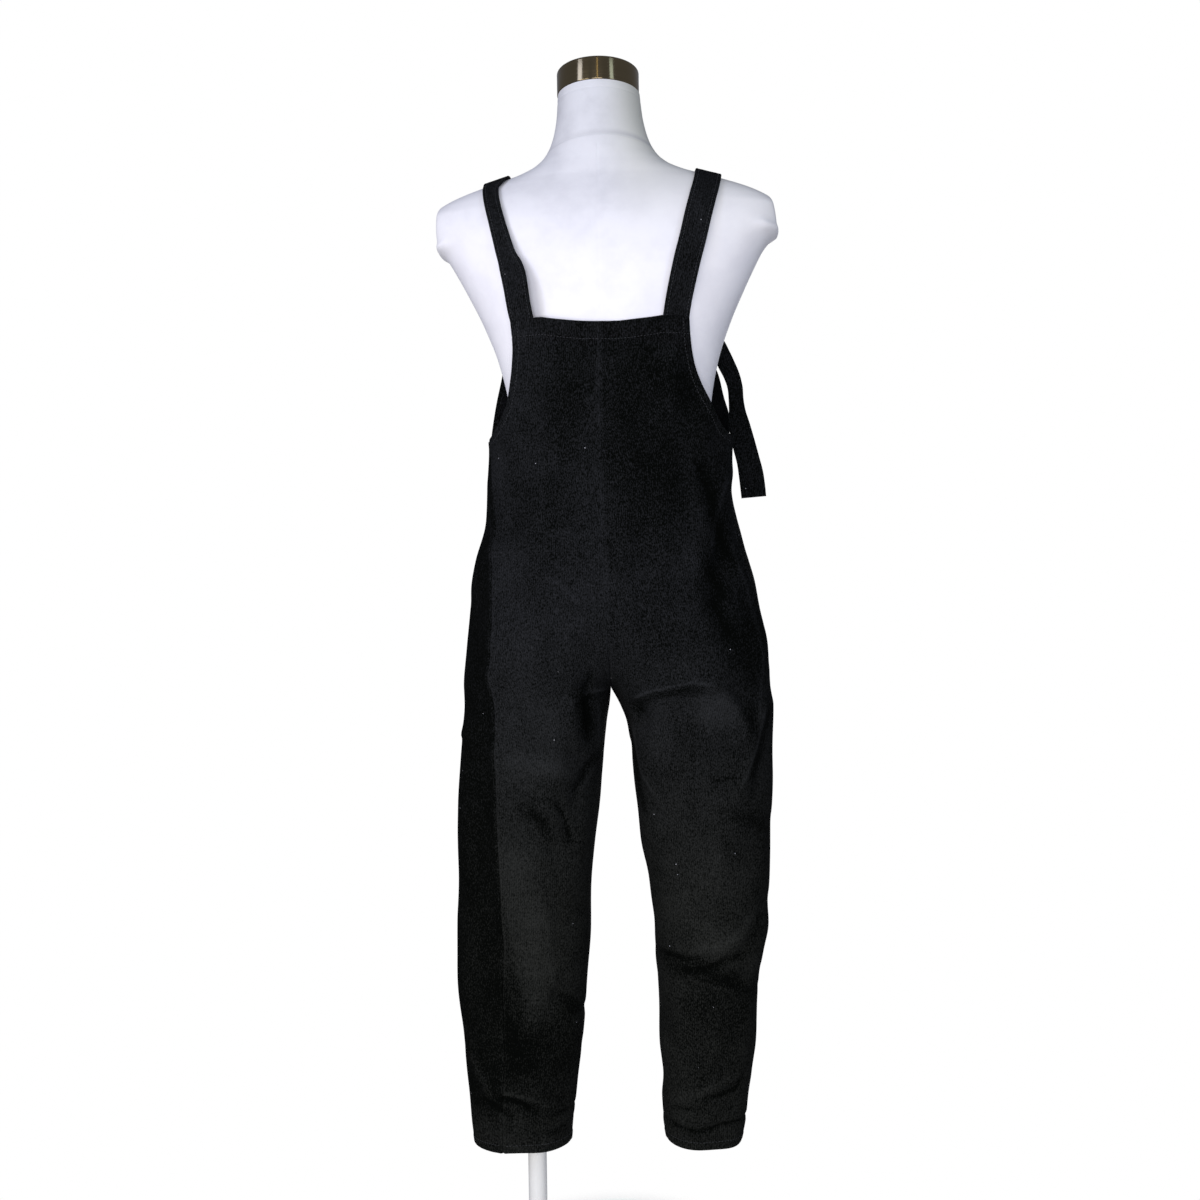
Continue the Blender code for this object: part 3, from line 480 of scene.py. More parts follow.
# each point's pile brightness, with its painted highlights and painted shade, sets the shade of the cloth
shade = node("Math", (node("Attribute", out="Fac", attribute_name="pile_and_painted_shading"), level), **PLUS)
shade = node("Math", (ribs, RIB_WEIGHT, shade), operation="MULTIPLY_ADD")
for size, detail, stretch, roughness, weight in UNEVEN:
    moved = node("Mapping", {"Vector": place, "Scale": stretch})
    grain = {"Vector": moved, "Scale": 1000 / size, "Detail": detail, "Roughness": roughness}
    pile = node("TexNoise", grain)
    shade = node("Math", (pile, weight, shade), operation="MULTIPLY_ADD")
height = node("MapRange", (node("SeparateXYZ", (place,), "Z"), 0.45, 0.95), **SOFT)
lit = node("Mix", {0: height, 6: linear("#2a2b29"), 7: linear("#28292c")}, **COLOUR)
tone = node("Mix", {0: shade, 6: linear("#050605"), 7: lit}, **COLOUR)
cells = node("TexVoronoi", {"Vector": place, "Scale": 1 / LINT_SPACING}).node.outputs
speck = node("Math", (cells["Distance"], LINT_SIZE / LINT_SPACING), operation="LESS_THAN")
chosen = node("SeparateColor", (cells["Color"],))
chosen = node("Math", (chosen, 1 - LINT_SHARE), operation="GREATER_THAN")
speck = node("Math", (speck, chosen), **TIMES)
tree.links.new(node("Mix", {0: speck, 6: tone, 7: linear("#9a9aa0")}, **COLOUR), surface["Base Color"])
height = node("Math", (pile, 0.55, node("Math", (ribs, 0.45), **TIMES)), operation="MULTIPLY_ADD")
tree.links.new(node("Bump", {"Height": height, "Strength": 0.6, "Distance": 0.0007}), surface["Normal"])


# ------------------------------------------------------------------------------ panels
# Four panels, each a bib, a seat and a leg in one, joined up the centre, the sides and the inseams: the
# cloth is turned in at the armholes, faced at the bib's top and hemmed at the ankles.

LEFT, RIGHT = 1, -1
BACK, FRONT = 1, -1
HANDS = {LEFT: "left", RIGHT: "right"}
CLOTH = 0.0018  # how thick the cloth is
SEAM_GAP = 0.0003
HEM_Z = 0.195
CROTCH_Z = 0.806
ARMHOLE_Z = 1.138
TOP_Z = {BACK: 1.2875, FRONT: 1.345}
TOP_DIP = 0.008  # how far the bib's top edge hangs down between the straps
DIP_HALF = 0.077  # half the width over which it does
TURN_REACH = 0.12  # how far below and above the crotch the columns swing round; half that at the armhole
# the garment cut level, from the crotch up: seam is the x of the centre seam, left and right the reach of
# the sides, back and front the depths. Each half is part of an oval that runs on past the seam, the further
# the higher up: join says how far, and crest where it is deepest, as shares of its outer side.
BODY = table(
    "z      seam    left   right  back   front  join  crest power",
    (0.806, -0.005, 0.194, 0.220, 0.104, 0.104, 0.00, 0.50, 2.15),
    (0.812, -0.005, 0.194, 0.220, 0.105, 0.105, 0.03, 0.50, 2.15),
    (0.825, -0.004, 0.193, 0.220, 0.1075, 0.107, 0.12, 0.50, 2.15),
    (0.845, -0.003, 0.191, 0.218, 0.1115, 0.110, 0.27, 0.48, 2.15),
    (0.870, -0.002, 0.189, 0.215, 0.116, 0.113, 0.47, 0.43, 2.20),
    (0.900, -0.001, 0.186, 0.210, 0.119, 0.115, 0.72, 0.33, 2.20),
    (0.940, 0.000, 0.182, 0.202, 0.118, 0.116, 0.94, 0.18, 2.25),
    (0.980, 0.001, 0.176, 0.191, 0.115, 0.116, 1.00, 0.07, 2.25),
    (1.035, 0.003, 0.160, 0.178, 0.109, 0.115, 1.00, 0.00, 2.30),
    (1.090, 0.003, 0.156, 0.171, 0.105, 0.116, 1.00, 0.00, 2.35),
    (1.138, 0.003, 0.156, 0.174, 0.103, 0.118, 1.00, 0.00, 2.40),
    (1.170, 0.003, 0.159, 0.179, 0.103, 0.120, 1.00, 0.00, 2.40),
    (1.205, 0.003, 0.157, 0.176, 0.104, 0.121, 1.00, 0.00, 2.40),
    (1.240, 0.003, 0.156, 0.172, 0.105, 0.123, 1.00, 0.00, 2.40),
    (1.290, 0.003, 0.168, 0.174, 0.106, 0.124, 1.00, 0.00, 2.40),
    (1.360, 0.003, 0.190, 0.192, 0.104, 0.121, 1.00, 0.00, 2.40),
)
LEGS = table(
    "z      left_outer left_inner right_outer right_inner back front power",
    (0.195, 0.191, 0.057, 0.174, 0.069, 0.044, 0.046, 2.1),
    (0.218, 0.193, 0.056, 0.178, 0.066, 0.047, 0.049, 2.1),
    (0.272, 0.197, 0.050, 0.182, 0.068, 0.053, 0.054, 2.1),
    (0.327, 0.201, 0.042, 0.192, 0.065, 0.060, 0.060, 2.1),
    (0.381, 0.206, 0.037, 0.198, 0.064, 0.066, 0.065, 2.1),
    (0.435, 0.209, 0.033, 0.205, 0.063, 0.071, 0.069, 2.1),
    (0.490, 0.208, 0.029, 0.212, 0.061, 0.075, 0.073, 2.1),
    (0.544, 0.206, 0.025, 0.217, 0.054, 0.079, 0.077, 2.1),
    (0.599, 0.204, 0.019, 0.219, 0.044, 0.083, 0.081, 2.1),
    (0.653, 0.203, 0.012, 0.2215, 0.038, 0.087, 0.085, 2.1),
    (0.707, 0.199, 0.007, 0.221, 0.032, 0.092, 0.090, 2.1),
    (0.762, 0.196, 0.001, 0.222, 0.025, 0.097, 0.097, 2.15),
    (0.788, 0.194, -0.003, 0.221, 0.015, 0.101, 0.101, 2.15),
    (0.806, 0.194, -0.005, 0.220, 0.005, 0.104, 0.104, 2.15),
)
# where the side seams run: the angle round each half, in degrees from its outer side towards the back
SIDE_SEAMS = table(
    "z      left right",
    (0.195, 71, 10),
    (0.350, 76, 12),
    (0.483, 78, 14),
    (0.537, 75, 15),
    (0.668, 68, 16),
    (0.798, 61, 18),
    (0.875, 54, 22),
    (0.935, 45, 25),
    (0.993, 37, 22),
    (1.073, 23, 12),
    (1.138, 14, 8),
)
# how far out the armholes' edges lie, from the underarm up to the bib's corners
ARMHOLES = {
    BACK: table(
        "z      left   right",
        (1.138, 0.156, 0.174),
        (1.146, 0.146, 0.163),
        (1.160, 0.135, 0.152),
        (1.183, 0.125, 0.138),
        (1.207, 0.121, 0.127),
        (1.232, 0.118, 0.119),
        (1.256, 0.1165, 0.115),
        (1.2875, 0.1185, 0.113),
    ),
    FRONT: table(
        "z      left   right",
        (1.138, 0.156, 0.174),
        (1.170, 0.150, 0.1775),
        (1.205, 0.145, 0.170),
        (1.240, 0.138, 0.162),
        (1.290, 0.128, 0.140),
        (1.345, 0.121, 0.122),
    ),
}


def section(side, z):
    """One half of the garment cut level at z: seam, crest, reach outwards and inwards, back, front, power."""
    hand, body = HANDS[side], z > CROTCH_Z
    seam = np.where(body, smooth(BODY, "seam", z), 0)
    outer = np.where(body, smooth(BODY, hand, z) - side * seam, smooth(LEGS, hand + "_outer", z))
    inner = np.where(body, -smooth(BODY, "join", z) * outer, smooth(LEGS, hand + "_inner", z) + SEAM_GAP)
    crest = np.where(body, smooth(BODY, "crest", z) * outer, (outer + inner) / 2)
    depths = [np.where(body, smooth(BODY, n, z), smooth(LEGS, n, z)) for n in ("back", "front", "power")]
    return seam, crest, outer - crest, crest - inner, *depths


def wall_points(side, angle, z):
    """Outer face of one half: angle 0 is its outer side, pi / 2 its back and pi its inner side."""
    seam, crest, outwards, inwards, back, front, power = section(side, z)
    depth = np.where(angle > 0, back, front)
    reach = np.where(np.cos(angle) > 0, outwards, inwards)
    across = crest + reach * power_of(np.cos(angle), power)
    return np.stack([seam + side * across, depth * power_of(np.sin(angle), power), z + 0 * angle], axis=-1)


def angle_at(side, face, z, x):
    """Where on the face the wall passes x."""
    seam, crest, outwards, inwards, _, _, power = section(side, z)
    across = side * (x - seam) - crest
    share = np.clip(across / np.where(across > 0, outwards, inwards), -1, 1)
    return face * np.arccos(np.sign(share) * np.abs(share) ** (power / 2))


def eased(z, low, high):
    """0 below low, 1 above high, and a smooth rise between them."""
    share = np.clip((z - low) / (high - low), 0, 1)
    return share * share * (3 - 2 * share)


def outer_edge(side, face, z):
    """Angle of a panel's outer edge: its side seam, and its armhole above that."""
    seam = np.radians(smooth(SIDE_SEAMS, HANDS[side], z))
    hole = angle_at(side, face, z, side * smooth(ARMHOLES[face], HANDS[side], z))
    hole = np.maximum(hole, seam) if face == BACK else np.minimum(hole, seam)
    return np.where(z <= ARMHOLE_Z, seam, hole)


def row_angles(side, face, z, share):
    """Angles of a panel's points, from its centre seam or inseam to its outer edge."""
    centre_x = section(side, z)[0]
    inner = np.where(z > CROTCH_Z, angle_at(side, face, z, centre_x), face * pi)
    outer = outer_edge(side, face, z)
    above = np.maximum(z, CROTCH_Z + TURN_REACH)
    centre = angle_at(side, face, above, section(side, CROTCH_Z + TURN_REACH + 0 * z)[0])
    even_inner = face * pi + (centre - face * pi) * eased(z, CROTCH_Z - TURN_REACH, CROTCH_Z + TURN_REACH)
    seam = np.radians(smooth(SIDE_SEAMS, HANDS[side], z))
    open_edge = outer_edge(side, face, np.maximum(z, ARMHOLE_Z + TURN_REACH / 2))
    even_outer = seam + (open_edge - seam) * eased(z, ARMHOLE_Z - TURN_REACH / 2, ARMHOLE_Z + TURN_REACH / 2)
    even = even_inner + (even_outer - even_inner) * share
    return even + (inner - even_inner) * (1 - share) ** 4 + (outer - even_outer) * share**4


# Folds and creases: ridges (+) and troughs (-) along a line from x0, z0 to x1, z1, bowed to its left by bow.
# left and right: how wide each is on either side of the line. All of it is in millimetres.
CREASES = {
    # x0, z0, x1, z1, bow, left, right, height
    (LEFT, BACK): (
        # the side seam and what runs beside it
        (145, 1080, 142, 990, 0, 16, 16, 3), (142, 990, 146, 830, 0, 10, 18, 6),
        (146, 830, 139, 500, 0, 10, 18, 6), (174, 920, 176, 560, 0, 18, 18, -5),
        # under the seat
        (110, 790, 20, 690, 0, 22, 22, -4), (30, 806, 0, 809, 0, 8, 4, 3),
        (28, 812, 24, 745, 0, 5, 10, -3), (44, 818, 40, 740, 4, 6, 18, 3.5),
        (18, 834, 26, 811, 0, 4, 4, -2), (10, 722, 46, 666, 3, 6, 12, -4),
        (139, 722, 50, 700, 4, 16, 16, 4), (66, 662, 49, 612, 0, 5, 6, -2.4),
        (111, 659, 74, 603, 6, 6, 8, -3), (193, 748, 148, 733, 4, 5, 12, 2.5),
        (130, 690, 40, 640, 0, 22, 22, 2),
        # knees and calves
        (86, 520, 79, 430, 0, 20, 12, 3), (79, 430, 103, 360, 0, 16, 8, 2.5),
        (74, 412, 36, 374, 2, 6, 6, -3.5), (140, 520, 112, 372, 5, 8, 16, 2.8),
        (191, 331, 45, 325, 2, 10, 10, -1.2),
        # hems
        (191, 330, 142, 238, 3, 6, 14, 3), (166, 268, 134, 246, 0, 4, 5, -3.2),
        (154, 273, 104, 254, -4, 5, 5, -3.2), (80, 243, 54, 244, 0, 3, 4, -2.2),
        (98, 217, 59, 227, 1, 3, 4, -1.8), (160, 280, 80, 250, 0, 14, 14, 3),
        # the back bib and the seat
        (78, 958, 34, 920, 0, 6, 8, 1.4), (27, 1258, 21, 1235, 0, 3, 3, -1.2),
    ),
    (LEFT, FRONT): (
        (20, 820, 150, 900, 6, 24, 14, 6), (30, 760, 170, 800, 0, 22, 22, -5),
        (18, 790, 110, 826, 4, 10, 6, -3), (12, 740, 60, 700, 0, 6, 12, -3.5),
        (60, 470, 180, 500, 4, 22, 14, 6), (55, 445, 150, 462, 2, 6, 12, -3.5),
        (140, 1100, 100, 960, 0, 22, 22, 5), (110, 1110, 70, 980, 0, 10, 14, -2.5),
        (80, 260, 170, 280, 0, 16, 16, 5), (70, 243, 150, 256, 2, 4, 6, -3),
        (100, 1325, 50, 1290, 0, 8, 12, 1.5),
    ),
    (RIGHT, BACK): (
        # the side seam and what runs beside it
        (-159, 1089, -128, 974, 4, 20, 12, 5), (-128, 1090, -155, 960, 0, 10, 14, -3.5),
        (-135, 965, -152, 860, 0, 12, 14, -3), (-182, 975, -200, 850, 0, 12, 8, 3),
        # under the seat
        (-44, 802, -150, 808, 0, 20, 20, 3), (-34, 798, -140, 816, -6, 4, 24, 2.2),
        (-38, 784, -130, 800, -6, 30, 6, -4.5), (-137, 815, -182, 750, -6, 20, 6, 4),
        (-34, 793, -44, 765, 0, 8, 8, -4), (-30, 764, -62, 666, 3, 5, 12, 2.8),
        (-205, 786, -170, 680, 0, 6, 18, 4), (-50, 760, -150, 770, 0, 22, 22, -3),
        (-140, 640, -205, 625, 4, 16, 12, -3),
        # knees and calves
        (-80, 470, -195, 490, 10, 24, 18, 5), (-70, 454, -116, 456, 3, 6, 6, -3.2),
        (-86, 438, -150, 455, 4, 8, 5, -4), (-150, 455, -203, 522, 10, 14, 10, -2.8),
        (-100, 420, -190, 425, 0, 16, 10, -3), (-139, 435, -196, 399, 0, 6, 6, -2.5),
        # hems
        (-172, 292, -126, 269, -4, 6, 5, -3), (-83, 249, -107, 253, 0, 3, 4, -1.8),
        (-70, 226, -95, 220, -1, 3, 4, -3), (-95, 220, -178, 228, -3, 3, 4, -2.4),
        (-80, 262, -165, 285, 0, 16, 16, 4),
        # the back bib and the seat
        (-52, 948, -66, 960, 0, 5, 6, 1.2),
    ),
    (RIGHT, FRONT): (
        (-20, 820, -160, 890, -6, 14, 24, 6), (-40, 760, -180, 810, 0, 22, 22, -5),
        (-22, 788, -120, 835, -4, 6, 10, -3), (-30, 730, -85, 690, 0, 12, 6, -3.5),
        (-80, 440, -190, 480, -4, 14, 22, 6), (-78, 418, -170, 440, 0, 12, 6, -3.5),
        (-150, 1100, -110, 950, 0, 22, 22, 5), (-118, 1110, -80, 970, 0, 14, 10, -2.5),
        (-80, 250, -160, 270, 0, 16, 16, 5), (-80, 232, -150, 246, -2, 6, 4, -3),
        (-102, 1320, -52, 1292, 0, 12, 8, 1.5),
    ),
}
# Crisp edges of folds and pressed-in lines: painted highlights (+) along their ridges and painted shade (-)
# in their troughs and below them, and the cloth rises or sinks with them. Each has a width, an amount and the
# points x, z that it runs through, all in millimetres but for the amount.
FOLD_HIGHLIGHTS_AND_SHADE = {
    (LEFT, BACK): (
        # under the seat
        (2.2, 0.55, 27, 806, 12, 808, -2, 809), (6.5, -0.28, 29, 808, 26, 780, 23, 745),
        (8, -0.22, 40, 812, 34, 790, 28, 750), (2.5, -0.4, 18, 834, 26, 811),
        (2, 0.25, 13, 798, 11, 760, 13, 725), (5, -0.28, 10, 724, 26, 700, 46, 667),
        (2.4, 0.22, 16, 700, 30, 680, 60, 663), (3, -0.36, 66, 662, 56, 640, 50, 606),
        (6, -0.3, 72, 665, 59, 655), (7, -0.26, 111, 659, 86, 640, 77, 606),
        (12, 0.2, 139, 728, 95, 715, 49, 706), (4.5, -0.12, 130, 690, 100, 672, 66, 666),
        # knees and calves
        (5, -0.26, 74, 412, 54, 395, 36, 374), (4.5, 0.08, 88, 520, 80, 482, 80, 447, 76, 416),
        (6, -0.17, 140, 560, 139, 520, 135, 468, 127, 429, 119, 377),
        (2.2, -0.12, 128, 549, 106, 546, 85, 547), (2.2, -0.16, 127, 501, 105, 497, 83, 496),
        (2, 0.2, 123, 443.5, 105, 441, 86, 441), (2.6, 0.15, 150, 329, 100, 326, 47, 324),
        # hems
        (4, -0.5, 166, 267, 150, 258, 135, 247), (4, -0.5, 154, 272, 125, 269, 104, 254),
        (3, -0.4, 79, 244, 55, 243), (2.5, -0.3, 99, 217, 76, 220, 59, 226),
        (5, 0.25, 190, 330, 166, 290, 144, 240), (4, 0.2, 150, 282, 110, 272, 80, 256),
        # seat, waist and bib
        (3.2, 0.32, 77, 957, 56, 942, 34, 921), (3, -0.14, 74, 950, 53, 935, 36, 915),
        (3, 0.12, 71, 1015, 40, 1008, 6, 1006), (3, 0.18, 150, 1032, 145, 987, 146, 952),
        (2, -0.35, 27, 1258, 21, 1237),
    ),
    (LEFT, FRONT): (
        (3, 0.3, 16, 800, 60, 822, 120, 850), (6, -0.4, 18, 790, 64, 810, 130, 836),
        (6, -0.4, 12, 740, 36, 716, 64, 696), (6, -0.4, 52, 445, 100, 452, 156, 466),
        (4, -0.4, 70, 243, 110, 250, 150, 256), (4, 0.2, 196, 748, 170, 742, 145, 733),
    ),
    (RIGHT, BACK): (
        # under the seat
        (1.7, 0.45, -31, 795, -51, 807, -80, 814, -108, 820, -134, 817),
        (6, -0.2, -36, 783, -55, 798, -80, 806, -108, 811, -128, 808), (6, -0.42, -34, 790, -41, 768),
        (10, -0.28, -146, 818, -172, 790, -184, 767, -188, 748), (2.2, 0.4, -30, 764, -44, 697, -61, 669),
        (3.5, -0.35, -26, 760, -37, 705, -48, 640), (2.5, 0.4, -205, 786, -190, 730, -171, 682),
        (6, -0.3, -214, 790, -200, 730, -182, 682), (3, -0.25, -126, 688, -150, 693, -169, 692),
        (10, -0.25, -154, 646, -185, 636, -212, 624), (9, -0.16, -141, 626, -158, 590),
        # knees and calves
        (4.2, -0.36, -66, 457, -90, 457, -116, 455),
        (5.6, -0.34, -86, 437, -120, 443, -150, 455, -176, 463),
        (10, -0.16, -172, 466, -190, 486, -204, 512),
        (7, 0.22, -100, 470, -140, 474, -172, 492, -190, 520),
        (7, -0.12, -120, 436, -163, 421, -198, 399), (3, 0.15, -100, 428, -130, 420, -165, 406),
        # hems
        (3.5, -0.4, -171, 292, -160, 278, -138, 271, -124, 269), (3, -0.3, -83, 249, -108, 253),
        (2.6, -0.4, -70, 226, -94, 221, -114, 222, -146, 230, -177, 228),
        (4, 0.18, -80, 262, -120, 280, -160, 296),
        # seat, waist and bib
        (3.5, 0.2, -50, 946, -66, 961),
        (2.4, 0.22, -165, 1000, -181, 940, -193, 888, -201.3, 834, -198, 796, -195, 759),
        (4, 0.3, -162, 1087, -148, 1040, -136, 985),
        (8, -0.36, -124, 1106, -139, 1057, -146, 1030, -162, 970),
        (8, -0.34, -129, 970, -151, 935, -141, 920, -160, 870),
    ),
    (RIGHT, FRONT): (
        (3, 0.3, -18, 802, -66, 826, -130, 846), (6, -0.4, -22, 790, -70, 812, -136, 830),
        (6, -0.4, -28, 732, -56, 712, -88, 688), (6, -0.4, -74, 418, -120, 428, -176, 446),
        (4, -0.4, -80, 232, -115, 240, -150, 246),
    ),
}
STROKE_RISE = 0.0011  # how far the cloth rises where a stroke's amount is 1
STROKE_TAPER = (0.010, 0.3)  # from how far before its ends a stroke fades, and to what share
FOLD_FADE = 0.030  # from how far off the centre seam folds fade towards it
FACE_BLEND = 0.050  # over how much depth a fold of the back gives way to the front's

# Slow waves in the cloth, mostly upright, as a hung garment has them.
WAVE_COUNT = 16
WAVE_HEIGHT = 0.00045
draw = np.random.default_rng(11)
wave_lengths = draw.uniform(0.045, 0.16, WAVE_COUNT)
wave_turns = draw.uniform(0, 2 * pi, WAVE_COUNT)
wave_slopes = draw.normal(0, 0.35, WAVE_COUNT)
wave_phases = draw.uniform(0, 2 * pi, WAVE_COUNT)


def facing(face, y):
    """1 on the side of the garment that faces this way, 0 on the other."""
    return np.clip(0.5 + face * y / FACE_BLEND, 0, 1)


def relief(side, points):
    """How far folds, creases and waves push the cloth out at these points."""
    x, y, z = np.moveaxis(points, -1, 0)
    height = np.zeros(x.shape)
    for face, row in [(face, row) for face in (BACK, FRONT) for row in CREASES[side, face]]:
        x0, z0, x1, z1, bow, left, right, crest = np.array(row) / 1000
        run_x, run_z = x1 - x0, z1 - z0
        length = np.hypot(run_x, run_z)
        along = ((x - x0) * run_x + (z - z0) * run_z) / length**2
        share = np.clip(along, 0, 1)
        off = ((z - z0) * run_x - (x - x0) * run_z) / length - 4 * bow * share * (1 - share)
        beyond = np.maximum(np.maximum(-along, along - 1), 0) * length
        wide = np.where(off > 0, left, right)
        height += crest * facing(face, y) * bump(off, wide) * bump(beyond, (left + right) / 2)
    for length, turned_by, slope, phase in zip(wave_lengths, wave_turns, wave_slopes, wave_phases):
        way = x * cos(turned_by) + y * sin(turned_by) + slope * z
        height += WAVE_HEIGHT * np.sin(2 * pi * way / length + phase)
    seam = section(side, np.maximum(z, CROTCH_Z + SEAM_GAP))[0]
    return height * np.clip(side * (x - seam) / FOLD_FADE, 0, 1)


# Soft patches on the back, partly brushed pile and partly painted light and shade: darker towards the
# wearer's right, away from the light, and in the hollows of folds. x, z and the reach across and up in
# millimetres, the turn in degrees, and how much lighter or darker it is.
PILE_AND_SHADE_PATCHES = {
    LEFT: (
        # bib and waist
        (86, 1200, 34, 60, 0, 0.05), (46, 1215, 34, 80, 0, -0.18), (75, 1060, 80, 80, 0, -0.1),
        (30, 1190, 36, 120, 0, -0.05), (138, 1100, 14, 50, 0, 0.18), (118, 880, 30, 100, 0, 0.08),
        # thighs
        (105, 765, 50, 50, 0, 0.16), (30, 775, 17, 45, 0, -0.12), (94, 708, 46, 22, -12, 0.14),
        (95, 645, 22, 14, 40, -0.12),
        # knees and calves
        (130, 600, 30, 70, 0, 0.1), (110, 496, 28, 105, -8, 0.26), (154, 430, 18, 75, -10, -0.24),
        (150, 340, 40, 60, 0, -0.44), (85, 330, 50, 55, 0, -0.34), (64, 390, 16, 18, 0, -0.12),
        (92, 258, 42, 20, 0, -0.18),
    ),
    RIGHT: (
        # bib and waist
        (-50, 1180, 90, 140, 0, -0.26), (-60, 1040, 80, 80, 0, -0.16), (-80, 900, 90, 60, 0, -0.1),
        (-112, 1185, 22, 55, -36, -0.16), (-150, 1030, 22, 100, 8, -0.22), (-180, 900, 30, 100, 6, -0.2),
        # thighs
        (-146, 786, 36, 30, -24, 0.44), (-60, 760, 24, 40, 0, 0.1), (-195, 840, 22, 60, 0, -0.16),
        (-105, 745, 20, 30, 0, -0.1), (-115, 610, 60, 130, 0, 0.04), (-205, 560, 26, 120, 0, -0.04),
        # knees and calves
        (-84, 507, 30, 30, 0, 0.12), (-145, 480, 40, 22, 30, 0.14), (-115, 436, 60, 18, 14, -0.2),
        (-140, 390, 60, 40, 0, -0.18), (-120, 320, 60, 50, 0, -0.1),
    ),
}
PILE = 0.36
# the front panel's pile lies the other way, and where it comes round to the back it also turns from the
# light:
# its pile and painted shade make it much darker there
AWAY = {LEFT: 0.36, RIGHT: 0.08}
AWAY_FROM = (-0.06, -0.01)  # y between which that sets in
HEM_EVEN = (0.232, 0.272)  # heights between which it wears off again towards the hem
HEM_SHARE = 0.75  # by how much


def pile_light_and_shade(side, face, points):
    """Pile brightness with painted light and shade at these points, and how far the strokes push the cloth
    out.
    """
    x, y, z = np.moveaxis(points, -1, 0)
    shade, rise = np.full(x.shape, PILE), np.zeros(x.shape)
    if face == FRONT:
        # darker pile and painted shade where the front panel comes round to the back
        shade -= AWAY[side] * eased(y, *AWAY_FROM) * (1 - HEM_SHARE * (1 - eased(z, *HEM_EVEN)))
    # on the left the front panel comes far round to the back, and the patches of pile and painted light and
    # shade stay on the back panel
    for row in PILE_AND_SHADE_PATCHES[side] if (side, face) != (LEFT, FRONT) else ():
        middle_x, middle_z, reach_across, reach_up = np.array(row[:4]) / 1000
        c, s = cos(radians(row[4])), sin(radians(row[4]))
        across = ((x - middle_x) * c + (z - middle_z) * s) / reach_across
        up = ((z - middle_z) * c - (x - middle_x) * s) / reach_up
        shade += row[5] * facing(BACK, y) * np.exp(-((across**2 + up**2) ** 1.5))
    # painted highlights and painted shade along the folds' edges, with the cloth's rise
    for seen, row in [(seen, row) for seen in (BACK, FRONT) for row in FOLD_HIGHLIGHTS_AND_SHADE[side, seen]]:
        width, amount = row[0] / 1000, row[1]
        course = np.array(row[2:]).reshape(-1, 2) / 1000
        off = np.full(x.shape, 1.0)
        for (x0, z0), (run_x, run_z) in zip(course, np.diff(course, axis=0)):
            along = np.clip(((x - x0) * run_x + (z - z0) * run_z) / (run_x**2 + run_z**2), 0, 1)
            off = np.minimum(off, np.hypot(x - x0 - along * run_x, z - z0 - along * run_z))
        to_end = np.minimum(*(np.hypot(x - end_x, z - end_z) for end_x, end_z in (course[0], course[-1])))
        taper = np.clip(to_end / STROKE_TAPER[0], STROKE_TAPER[1], 1)
        weight = amount * facing(seen, y) * taper * bump(off, width)
        shade += weight
        rise += STROKE_RISE * weight
    return shade, rise


def normals_of(grid):
    """Unit normals of a grid of points."""
    normal = np.cross(np.gradient(grid, axis=1), np.gradient(grid, axis=0))
    return normal / np.maximum(np.linalg.norm(normal, axis=-1, keepdims=True), 1e-12)


def run_of(grid, axis):
    """Distance covered along one axis of a grid of points."""
    steps = np.linalg.norm(np.diff(grid, axis=axis), axis=-1)
    start = np.zeros_like(np.take(steps, [0], axis=axis))
    return np.concatenate([start, np.cumsum(steps, axis=axis)], axis=axis)


def weave_and_pile_shading(mesh, corner_uv, pile_and_painted_shading):
    """Gives the corners their places in the weave, in metres, and the points the pile's brightness with its
    painted highlights and shade.
    """
    mesh.uv_layers.new(name="cloth").data.foreach_set("uv", corner_uv.astype(np.float32).ravel())
    brush = mesh.attributes.new("pile_and_painted_shading", "FLOAT", "POINT")
    brush.data.foreach_set("value", pile_and_painted_shading.astype(np.float32).ravel())


def shell(name, outer, inner, uv, pile_and_painted_shading):
    """A closed sheet from two grids of points, with its rim; uv in metres along and across the cloth."""
    rows, columns = outer.shape[:2]
    size = rows * columns
    index = np.arange(size).reshape(rows, columns)
    quads = np.stack([index[:-1, :-1], index[:-1, 1:], index[1:, 1:], index[1:, :-1]], axis=-1).reshape(-1, 4)
    edge = np.concatenate([index[0, :-1], index[:-1, -1], index[-1, :0:-1], index[:0:-1, 0]])
    after = np.roll(edge, -1)
    rim = np.stack([edge, edge + size, after + size, after], axis=-1)
    faces = np.concatenate([quads, quads[:, ::-1] + size, rim])
    way = np.cross(outer[0, 1] - outer[0, 0], outer[1, 0] - outer[0, 0])
    if np.dot(way, outer[0, 0] - inner[0, 0]) < 0:
        faces = faces[:, ::-1]
    points = np.concatenate([outer.reshape(-1, 3), inner.reshape(-1, 3)])
    mesh = bpy.data.meshes.new(name)
    mesh.vertices.add(len(points))
    mesh.vertices.foreach_set("co", points.astype(np.float32).ravel())
    mesh.loops.add(faces.size)
    mesh.loops.foreach_set("vertex_index", faces.astype(np.int32).ravel())
    mesh.polygons.add(len(faces))
    mesh.polygons.foreach_set("loop_start", np.arange(0, faces.size, 4, dtype=np.int32))
    mesh.update(calc_edges=True)
    weave_and_pile_shading(mesh, np.tile(uv.reshape(-1, 2), (2, 1))[faces.ravel()], np.tile(pile_and_painted_shading.ravel(), 2))
    mesh.materials.append(cord)
    mesh.shade_smooth()
    mesh.set_sharp_from_angle(angle=radians(CLOTH_EDGE))
    made = bpy.data.objects.new(name, mesh)
    bpy.context.scene.collection.objects.link(made)
    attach(made, "root")
    return made


def off_form(point, room):
    """How far a point has to move to stand as far as room off the form."""
    nearest, outward, _, _ = form_tree.find_nearest(point)
    short = room - (point - nearest).dot(outward)
    return outward * short if 0 < short < room + DEEPEST else Vector()


